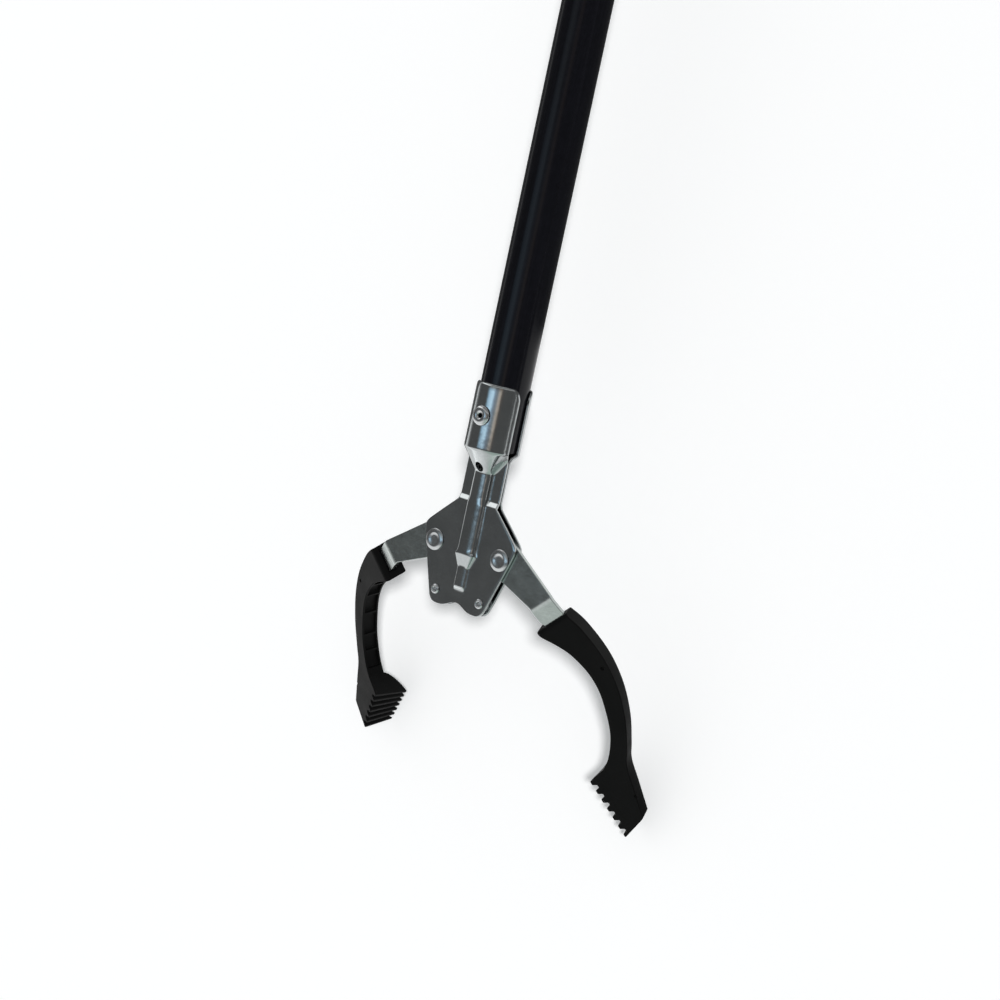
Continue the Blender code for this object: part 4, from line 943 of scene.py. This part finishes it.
def jaw_arm_mesh():
    half = ARM_THICKNESS / 2
    through = half + OVERCUT
    blank = slab(arm_outline(), -half, half, ARM_ROUNDING, ARM_ROUNDING, 3)
    holes = joined([
        bar(PIVOT_SHANK + GAP, PIVOT, -through, through),
        bar(COVER_PIN_RADIUS + GAP, on_blank(*COVER_PIN_AT), -through, through),
    ])
    shape = bmesh.new()
    shape.from_mesh(carved(blank, holes))
    for step in range(BEND_STEPS + 1):
        creased(shape, BEND_CENTRE + BEND_ARC * step / BEND_STEPS * REACH, REACH, WELD / 10)
    return shaded(bend(baked(shape, "jaw_arm")))


def ridge_line():
    """The pad's gripping face from heel to toe: rounded crests with sloped sides."""
    heel, toe = Vector(PAD_HEEL), Vector(PAD_TOE)
    pitch = (toe - heel) / (RIDGE_COUNT - 1 + RIDGE_CREST)
    inward = Vector((pitch.y, -pitch.x)).normalized() * -RIDGE_HEIGHT
    points = []
    for ridge in range(RIDGE_COUNT):
        crest = heel + pitch * ridge
        points += [crest, crest + pitch * RIDGE_CREST]
        if ridge < RIDGE_COUNT - 1:
            points += [crest + pitch * spot + inward for spot in VALLEY]
    return [tuple(point) for point in points]


def cover_blank(start, lip):
    """The finger and its pad from one outline, the pad's back sloping out to its gripping face."""
    outer = smooth(((start, COVER_OUTER[0][1]), *COVER_OUTER[1:]))
    inner = smooth((*COVER_INNER[:-1], (start, COVER_INNER[-1][1])))
    foot, split = Vector(inner[0]), Vector(COVER_CORNER).lerp(PAD_TOE, PAD_SPLIT)
    whole = rounded(outer + [COVER_CORNER] + ridge_line()[::-1] + [PAD_TOP] + inner, RIDGE_ROUNDING, 4)
    outline = [on_blank(*point).xy for point in whole]
    half = COVER_DEPTH / 2
    shape = slab_shape(outline, -half, half, COVER_ROUNDING, COVER_ROUNDING, 3)
    heel = Vector(PAD_HEEL)
    span = Vector(PAD_TOE) - heel
    slope = split - foot
    fall = Vector((slope.y, -slope.x)).normalized()
    drop = fall.dot(heel - foot)
    for share in PAD_CREASES:
        creased(shape, on_blank(*(foot + fall * drop * share)), fall.x * REACH + fall.y * OUTWARD)
    for share in COVER_END_CREASES:
        creased(shape, on_blank(start + COVER_END_LENGTH * share, 0), REACH)
    for vertex in shape.verts:
        offset = vertex.co - BEND_CENTRE
        spot = Vector((offset.dot(REACH), offset.dot(OUTWARD)))
        if vertex.co.z > 0:
            short = clamped(1 - (spot.x - start) / COVER_END_LENGTH)
            vertex.co.z *= 1 - COVER_END_DROP * dip(short) / half
        else:
            near_mouth = max(0, 1 - (spot.x - start) / BACK_LIP_ROOM)
            vertex.co -= REACH * (start - lip) * near_mouth
        share = fall.dot(spot - foot) / drop
        if vertex.co.z < 0 < share:
            near_heel = clamped(1 - (spot - heel).dot(span) / span.length_squared)
            swell = share + (share ** PAD_SWELL - share) * near_heel
            depth = (PAD_DEPTH - COVER_DEPTH) * swell
            lean = Vector(HEEL_LEAN) * (PAD_DEPTH - COVER_DEPTH) * share * near_heel
            vertex.co += lean.x * REACH + lean.y * OUTWARD - depth * UP
    return shape


def finger_cells():
    """Outlines of the shallow cells moulded into the finger's inner side."""
    edge = sorted(point for point in smooth(COVER_INNER) if CELL_FIRST <= point[0] <= CELL_LAST)
    span = (len(edge) - 1) / CELL_COUNT
    cells = []
    for cell in range(CELL_COUNT):
        first, last = round(cell * span), round((cell + 1) * span)
        run = [Vector(point) for point in edge[first:last + 1]]
        along = (run[-1] - run[0]).normalized()
        inward = Vector((-along.y, along.x))
        run[0] += along * CELL_WALL / 2
        run[-1] -= along * CELL_WALL / 2
        mouth = [point - inward * OVERCUT for point in run]
        floor_line = [point + inward * CELL_DEPTH for point in reversed(run)]
        cells.append(rounded([on_blank(*point).xy for point in mouth + floor_line], CELL_ROUNDING))
    return cells


def jaw_cover_mesh(start, lip):
    blank = to_mesh(cover_blank(start, lip), "cover", sharp=40)
    half = ARM_THICKNESS / 2 + GAP
    socket = slab(tang_outline(GAP), -half, half)
    face = COVER_DEPTH / 2
    drilled = [bar(COVER_PIN_RADIUS + GAP, on_blank(*COVER_PIN_AT), -face - OVERCUT, 0)]
    for spot in DIMPLES:
        drilled.append(bar(
            DIMPLE_RADIUS, on_blank(*spot), face - DIMPLE_DEPTH, face + DIMPLE_DEPTH, sides=24,
            end_radius=DIMPLE_MOUTH))
    depth = face - CELL_WALL
    cells = [slab(outline, -depth, depth) for outline in finger_cells()]
    return bend(carved(blank, socket, joined(drilled), joined(cells), sharp=40))


def jaws():
    arm = jaw_arm_mesh()
    left_cover = jaw_cover_mesh(LEFT_COVER_START, LEFT_LIP_START)
    left = (reflected(arm, (1, 0, 0)), reflected(left_cover, (1, 0, 0)))
    right = (arm, jaw_cover_mesh(RIGHT_COVER_START, RIGHT_COVER_START))
    for side, (strip, finger) in (("left", left), ("right", right)):
        body = side + "_jaw"
        weighted(place(side + "_bent_arm", strip, ARM_ZINC, body, "zinc_plated_steel", side + "_jaw_arm"))
        weighted(place(side + "_finger_cover", finger, RUBBER, body, "black_rubber", side + "_jaw_cover"))


# Pole and spring

def pole():
    middle = (POLE_START + POLE_END) / 2
    end = POLE_END - middle
    upper = [
        (POLE_BORE, end - POLE_LIP), (POLE_BORE + POLE_LIP, end),
        (POLE_RADIUS - POLE_LIP, end), (POLE_RADIUS, end - POLE_LIP),
    ]
    length = POLE_END - POLE_START - 2 * POLE_LIP
    sides = [(POLE_RADIUS, end - POLE_LIP - length * k / POLE_RUNS) for k in range(1, POLE_RUNS)]
    lower = [(radius, -height) for radius, height in reversed(upper)]
    mesh = turned(upper + sides + lower, (0, middle, 0), ALONG_Y, sides=96, ring=True)
    reach = POLE_RADIUS + OVERCUT
    hole = bar(FERRULE_RIVET_SHANK + GAP, (0, FERRULE_RIVET_AT, 0), -reach, reach)
    place("enamelled_pole", carved(mesh, hole), ENAMEL, "frame", "black_enamel", "pole_tube")


def return_spring():
    steps = SPRING_CURLS * SPRING_CURL_POINTS
    start = SPRING_START + SPRING_WIRE
    length = SPRING_LENGTH - 2 * SPRING_WIRE
    climb = length / (2 * pi * SPRING_CURLS)
    angles = [2 * pi * k / SPRING_WIRE_SIDES for k in range(SPRING_WIRE_SIDES)]
    shape = bmesh.new()
    rings = []
    for step in range(steps + 1):
        turn = 2 * pi * step / SPRING_CURL_POINTS
        out = Vector((cos(turn), 0, sin(turn)))
        centre = SPRING_RADIUS * out + Vector((0, start + length * step / steps, 0))
        forward = Vector((-SPRING_RADIUS * sin(turn), climb, SPRING_RADIUS * cos(turn))).normalized()
        side = forward.cross(out)
        points = [centre + SPRING_WIRE * (cos(a) * out + sin(a) * side) for a in angles]
        rings.append([shape.verts.new(point) for point in points])
    skin(shape, rings)
    shape.faces.new(rings[0])
    shape.faces.new(rings[-1])
    mesh = to_mesh(shape, "spring", sharp=50)
    spring = place("wound_return_spring", mesh, STEEL, "frame", "plain_steel", "return_spring")
    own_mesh(spring)


# Trigger and handle

def trigger():
    tilt = atan2(TRIGGER_BOSS / 2, TRIGGER_BOSS)
    boss = arc((0, 0), TRIGGER_BOSS, -tilt, pi + tilt, steps=32)
    blade = smooth(TRIGGER_FRONT) + [TRIGGER_TOE] + smooth(TRIGGER_REAR)
    outline = rounded(boss + [(y, -TRIGGER_ARM - drop) for y, drop in blade], TRIGGER_CORNER, 5)
    wide = TRIGGER_HALF_WIDTH
    through = wide + OVERCUT
    blank = sideways(slab(outline, -wide, wide, TRIGGER_ROUNDING, TRIGGER_ROUNDING, 5))
    pivot = bar(TRIGGER_PIN_RADIUS + SLIDE, (0, 0, 0), -through, through, ALONG_X)
    slack = TRIGGER_ARM / cos(TRIGGER_HALF_TRAVEL) - TRIGGER_ARM
    depth = -TRIGGER_FRONT[1][0]
    lean = depth * tan(TRIGGER_HALF_TRAVEL) + ROD_RADIUS / cos(TRIGGER_HALF_TRAVEL)
    mouth = oblong(2 * TRIGGER_BOSS, slack + lean + SLIDE)
    half = ROD_RADIUS + 2 * SLIDE
    window = sideways(slab([(y, z - TRIGGER_ARM) for y, z in mouth], -half, half))
    radius = CROSS_PIN_RADIUS + SLIDE
    upper = arc((0, -TRIGGER_ARM), radius, 0, pi, steps=12)
    lower = arc((0, -TRIGGER_ARM - slack), radius, pi, 2 * pi, steps=12)
    slot = sideways(slab(upper + lower, -through, through))
    mesh = carved(blank, pivot, window, slot)
    mesh.transform(Matrix.Translation(TRIGGER_PIVOT) @ Matrix.Rotation(-TRIGGER_HALF_TRAVEL, 4, "X"))
    weighted(place("finger_trigger", mesh, GREY_PLASTIC, "trigger", "grey_plastic", "trigger_lever"))


def grip_back(z):
    return GRIP_BACK + (GRIP_BACK_Z - z) / tan(GRIP_RAKE)


def grip_front(z):
    return grip_back(z) - GRIP_THICKNESS / sin(GRIP_RAKE)


def handle_outline():
    """Side view from the pole's end: brow, raked back, square end, flat butt, underside, belly."""
    top = [(y, POLE_RADIUS + rise) for y, rise in HANDLE_TOP]
    top += [(TRIGGER_BACK + y, TRIGGER_ARM + rise) for y, rise in HANDLE_BROW]
    top = smooth(top + [(GRIP_BACK - GRIP_ROUND, GRIP_BACK_Z + GRIP_ROUND)])
    belly = [(y, -POLE_RADIUS - drop) for y, drop in HANDLE_BELLY]
    belly = smooth([(grip_front(GRIP_SHOULDER), GRIP_SHOULDER)] + belly)
    heel = HANDLE_FLOOR + GRIP_HEEL
    end = grip_back(heel) - GRIP_HEEL * tan(GRIP_RAKE)
    butt = [(grip_back(heel), heel), (end, HANDLE_FLOOR), (grip_front(HANDLE_FLOOR), HANDLE_FLOOR)]
    return top + butt + belly


def well_outline():
    boss = TRIGGER_BOSS + 2 * SLIDE
    deep = GRIP_SHOULDER - 2 * TRIGGER_BOSS
    roof = arc((TRIGGER_BACK, TRIGGER_ARM), boss, 0, pi, steps=20)
    front = TRIGGER_BACK - WELL_BEFORE
    rear = TRIGGER_BACK + WELL_BEHIND
    return [(rear, deep), (rear, 0), *roof, (front, -TRIGGER_BOSS), (front, deep)]


def screw_places():
    return [*SCREW_PLACES] + [((grip_back(z) + grip_front(z)) / 2, z) for z in GRIP_SCREW_HEIGHTS]


def grip_grooves():
    """Rounded bars across the grip's side face, perpendicular to its length."""
    down = Vector((0, cos(GRIP_RAKE), -sin(GRIP_RAKE)))
    across = Vector((0, sin(GRIP_RAKE), cos(GRIP_RAKE)))
    turn = UP.rotation_difference(across).to_matrix().to_4x4()
    middle = POLE_END + (grip_back(GROOVE_FIRST) + grip_front(GROOVE_FIRST)) / 2
    first = Vector((HANDLE_HALF_WIDTH + GROOVE_RADIUS - GROOVE_DEPTH, middle, GROOVE_FIRST))
    bars = []
    for k in range(GROOVE_COUNT):
        shape = bmesh.new()
        bmesh.ops.create_uvsphere(shape, u_segments=24, v_segments=12, radius=GROOVE_RADIUS)
        for vertex in shape.verts:
            if abs(vertex.co.z) > WELD:
                vertex.co.z += copysign(GROOVE_HALF_LENGTH, vertex.co.z)
        mesh = to_mesh(shape, "groove")
        mesh.transform(Matrix.Translation(first + down * GROOVE_PITCH * k) @ turn)
        bars.append(mesh)
    return bars


def handle():
    wide = HANDLE_HALF_WIDTH
    outline = rounded(handle_outline(), HANDLE_CORNER, 8)
    blank = sideways(slab(outline, SEAM_GAP / 2, wide, SEAM_ROUNDING, HANDLE_ROUNDING, 7), POLE_END)
    grasp = POLE_END - HANDLE_GRASP - OVERCUT
    bore = bar(POLE_RADIUS + GAP, (0, 0, 0), grasp, POLE_END + GAP, ALONG_Y, 96)
    guide_radius = ROD_RADIUS + GUIDE_SLACK
    guide = bar(guide_radius, (0, 0, 0), POLE_END - OVERCUT, POLE_END + TRIGGER_BACK, ALONG_Y)
    room = TRIGGER_HALF_WIDTH + 2 * SLIDE
    well = sideways(slab(well_outline(), -room, room), POLE_END)
    core = carved(blank, bore, guide, well, joined(grip_grooves()))
    left = reflected(core, (1, 0, 0))
    sinks = []
    for y, z in screw_places():
        spot = (0, POLE_END + y, z)
        sinks.append(bar(SCREW_HEAD + GAP, spot, SCREW_SEAT - GAP, wide + OVERCUT, ALONG_X, 40))
    right = carved(core, joined(sinks))
    for side, shell in (("left", left), ("right", right)):
        name = side + "_grip_shell"
        weighted(place(name, shell, BLACK_PLASTIC, "frame", "black_plastic", side + "_handle_shell"))


def handle_screws():
    profile = head_profile(PAN_HEAD, SCREW_HEAD, SCREW_HEAD_HEIGHT, SCREW_SEAT)
    profile += [(SCREW_SHANK, SCREW_SEAT), (SCREW_SHANK, SCREW_POINT - SCREW_BITE), (0, -SCREW_BITE)]
    blank = turned(profile, (0, 0, 0), sides=48)
    top = SCREW_SEAT + SCREW_HEAD_HEIGHT
    arms = (oblong(*SCREW_SLOT), oblong(*SCREW_SLOT[::-1]))
    screw = carved(blank, *[slab(arm, top - SCREW_SLOT_DEPTH, top + OVERCUT) for arm in arms])
    for number, (y, z) in enumerate(screw_places(), 1):
        mesh = screw.copy()
        turn = Matrix.Rotation(radians(SCREW_TURN * number), 4, "Z")
        mesh.transform(Matrix.Translation((0, POLE_END + y, z)) @ ALONG_X @ turn)
        place(f"cross_screw_{number}", mesh, STEEL, "frame", "plain_steel", f"handle_screw_{number}")


CARRIED = (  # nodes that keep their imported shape
    (STEEL, (
        "crosshead", "rod_clevis", "clevis_pin", "pull_rod", "rod_cross_pin", "spring_collar",
        "trigger_pivot_pin", "left_spacer_sleeve", "right_spacer_sleeve")),
    (DARK_STEEL, ("left_cover_pin", "right_cover_pin")),
    (PALE_PLASTIC, ("front_guide_bush", "rear_guide_bush")),
)


# Stage

FLOOR_RADIUS = 14
FLOOR_DROP = 0.0002  # below what stands on it
FLOOR_WHITE = (0.96, 0.96, 0.96, 1)
FLOOR_GLOW = 0.14  # keeps the lit floor white, for the camera only
FLOOR_TINT = (0.93, 1, 1.03, 1)
FAR = 20  # beyond the floor's edge
MIRROR_SHADE_PATCHES = (  # floor patches painted dark for mirror rays only, painted dark reflections: limits across, then along
    (-FAR, FAR, -0.235, FAR), (-FAR, -0.045, -0.325, FAR),
    (0.088, 0.3, -0.5, -0.345), (0.26, FAR, -0.4, FAR),
)
# grey of the floor patches painted dark for mirrors, painted dark reflections
MIRROR_SHADE_GREY = (0.12, 0.12, 0.12, 1)
MIRROR_SHADE_EDGE = 0.012
AMBIENT = 0.38  # what diffuse surfaces receive from all round
CEILING = 0.1  # what polished metal mirrors overhead
# The mirrored room: places up, across, along or overhead, from 0 to 1, each with a brightness or colour
HORIZON = ((0, 0.74), (0.03, 0.64), (0.1, 0.26), (0.25, 0))
SIDES = ((0, 1), (0.52, 1), (0.66, 0.12), (1, 0.08))
FRONT_WALL = ((0.28, 1), (0.345, 0.15), (0.37, 0))
FRONT_SIDES = (
    (0, 0.82), (0.35, 0.82), (0.52, (0.52, 0.55, 0.53)), (0.6, (0.36, 0.45, 0.4)), (1, (0.42, 0.52, 0.47)),
)
REAR_WALL = ((0.69, 0), (0.74, 1.4), (0.782, 1.4), (0.82, 0.4), (1, 0.28))
REAR_SIDES = ((0, 1), (0.25, 1), (0.3, 0.35), (1, 0.35))
STRIPS = (
    (0.325, 0), (0.345, (0.12, 0.22, 0.28)), (0.375, (0.5, 0.8, 1.05)), (0.43, (0.85, 1.22, 1.52)),
    (0.47, (1.0, 1.4, 1.7)), (0.5, (0.58, 0.84, 1.08)), (0.525, (0.28, 0.38, 0.5)),
    (0.575, (0.25, 0.3, 0.34)), (0.615, (0.76, 0.66, 0.58)), (0.645, (0.64, 0.52, 0.42)),
    (0.675, (0.03, 0.01, 0)), (0.74, 0),
)
STRIP_REACH = (
    (0.34, 0), (0.4, 0.05), (0.4465, 0.06), (0.4515, 1), (0.47, 1), (0.485, 0.45), (0.525, 0.45),
    (0.54, (0.3, 0.24, 0.2)), (0.62, (0.3, 0.24, 0.2)), (0.66, 0),
)
CAMERA_AT = Vector((0.5321, 0.1338, 0.7001))
CAMERA_RIGHT = Vector((0.7683, 0.2084, -0.6052))
CAMERA_UP = Vector((-0.2404, 0.9703, 0.0289))
CAMERA_BACK = Vector((0.5932, 0.1233, 0.7956))
CAMERA_LENS = 72  # millimetres, like the sensor
CAMERA_SENSOR = 36
KEY_LEVEL = 2.04  # a white face turned to it sends back 0.65
KEY_SPREAD = radians(6)
KEY_UP = 0.09  # the light stands this much above the camera's direction, and to its right
KEY_RIGHT = 0.025
KEY_TOWARDS = CAMERA_BACK + KEY_UP * CAMERA_UP + KEY_RIGHT * CAMERA_RIGHT


def blank_tree(owner):
    """The emptied shader tree of a material or world."""
    owner.use_nodes = True
    owner.node_tree.nodes.clear()
    return Nodes(owner.node_tree)


def floor():
    """A pale floor that looks white to the camera and keeps the shadow, with patches painted dark where
    mirrors see it.
    """
    shape = bmesh.new()
    bmesh.ops.create_circle(shape, cap_ends=True, segments=96, radius=FLOOR_RADIUS)
    ground = add_object("floor", baked(shape, "floor"))
    ground.location.z = -FLOOR_DROP
    material = bpy.data.materials.new("floor_white")
    ground.data.materials.append(material)
    look = blank_tree(material)
    path = look.node("LightPath").outputs
    across, along, _ = look.node("SeparateXYZ", Vector=look.node("TexCoord").outputs["Object"]).outputs
    mirror_shaded = 0.0
    # Floor patches painted dark for glossy rays only: painted dark reflections in the metal, where no dark
    # thing stands
    for left, right, near, far in MIRROR_SHADE_PATCHES:
        shade_patch = 1.0
        for value, low, high in ((across, left, right), (along, near, far)):
            shade_patch = look.math("MULTIPLY", shade_patch, look.spread(value, 0, 1, low - MIRROR_SHADE_EDGE, low))
            shade_patch = look.math("MULTIPLY", shade_patch, look.spread(value, 1, 0, high, high + MIRROR_SHADE_EDGE))
        mirror_shaded = look.math("MAXIMUM", mirror_shaded, shade_patch)
    pale = look.output("BsdfDiffuse", Color=FLOOR_WHITE)
    dark = look.output("BsdfDiffuse", Color=MIRROR_SHADE_GREY)
    # the painted dark patches show only to glossy rays, so the metal mirrors painted shade there
    body = look.join("MixShader", pale, dark, Fac=look.math("MULTIPLY", path["Is Glossy Ray"], mirror_shaded))
    strength = look.math("MULTIPLY", path["Is Camera Ray"], FLOOR_GLOW)
    glow = look.output("Emission", Color=FLOOR_TINT, Strength=strength)
    look.node("OutputMaterial", Surface=look.join("AddShader", body, glow))


def studio_world():
    """White to the camera, even ambient light, and for mirrors a dark room with bright walls and strips."""
    world = bpy.data.worlds.new("studio")
    bpy.context.scene.world = world
    look = blank_tree(world)
    x, y, z = look.node("SeparateXYZ", Vector=look.node("TexCoord").outputs["Generated"]).outputs
    across, along = look.spread(x, 0, 1, -1, 1), look.spread(y, 0, 1, -1, 1)
    overhead = look.spread(look.math("ARCTAN2", x, z), 0, 1, -pi / 2, pi / 2)
    mirrored = (CEILING, CEILING, CEILING)
    for one, stops, two, limits in (
            (z, HORIZON, across, SIDES), (along, FRONT_WALL, across, FRONT_SIDES),
            (along, REAR_WALL, across, REAR_SIDES), (overhead, STRIPS, along, STRIP_REACH)):
        part = look.vector("MULTIPLY", look.ramp(one, *stops), look.ramp(two, *limits))
        mirrored = look.vector("ADD", mirrored, part)
    path = look.node("LightPath").outputs
    shown = look.output("Background", Color=mirrored)
    for ray, level in (("Is Diffuse Ray", AMBIENT), ("Is Camera Ray", 1)):
        plain = look.output("Background", Color=(1, 1, 1, 1), Strength=level)
        shown = look.join("MixShader", shown, plain, Fac=path[ray])
    look.node("OutputWorld", Surface=shown)


def camera():
    data = bpy.data.cameras.new("camera")
    data.lens = CAMERA_LENS
    data.sensor_width = CAMERA_SENSOR
    eye = add_object("camera", data)
    back = CAMERA_BACK.normalized()
    right = CAMERA_UP.cross(back).normalized()
    turn = Matrix((right, back.cross(right), back)).transposed().to_4x4()
    eye.matrix_world = Matrix.Translation(HEAD_ORIGIN + CAMERA_AT) @ turn
    bpy.context.scene.camera = eye


def key_light():
    """A small far light close to the camera's direction, left out of reflections."""
    data = bpy.data.lights.new("key", "SUN")
    data.energy = KEY_LEVEL
    data.angle = KEY_SPREAD
    light = add_object("key", data)
    light.rotation_euler = KEY_TOWARDS.to_track_quat("Z", "Y").to_euler()
    light.visible_glossy = False


camera()
head_plates()
head_rivets()
jaws()
pole()
return_spring()
trigger()
handle()
handle_screws()
for material, names in CARRIED:
    for name in names:
        NODES[name].material_slots[0].material = material
floor()
studio_world()
key_light()
bpy.context.scene.view_settings.view_transform = "Standard"
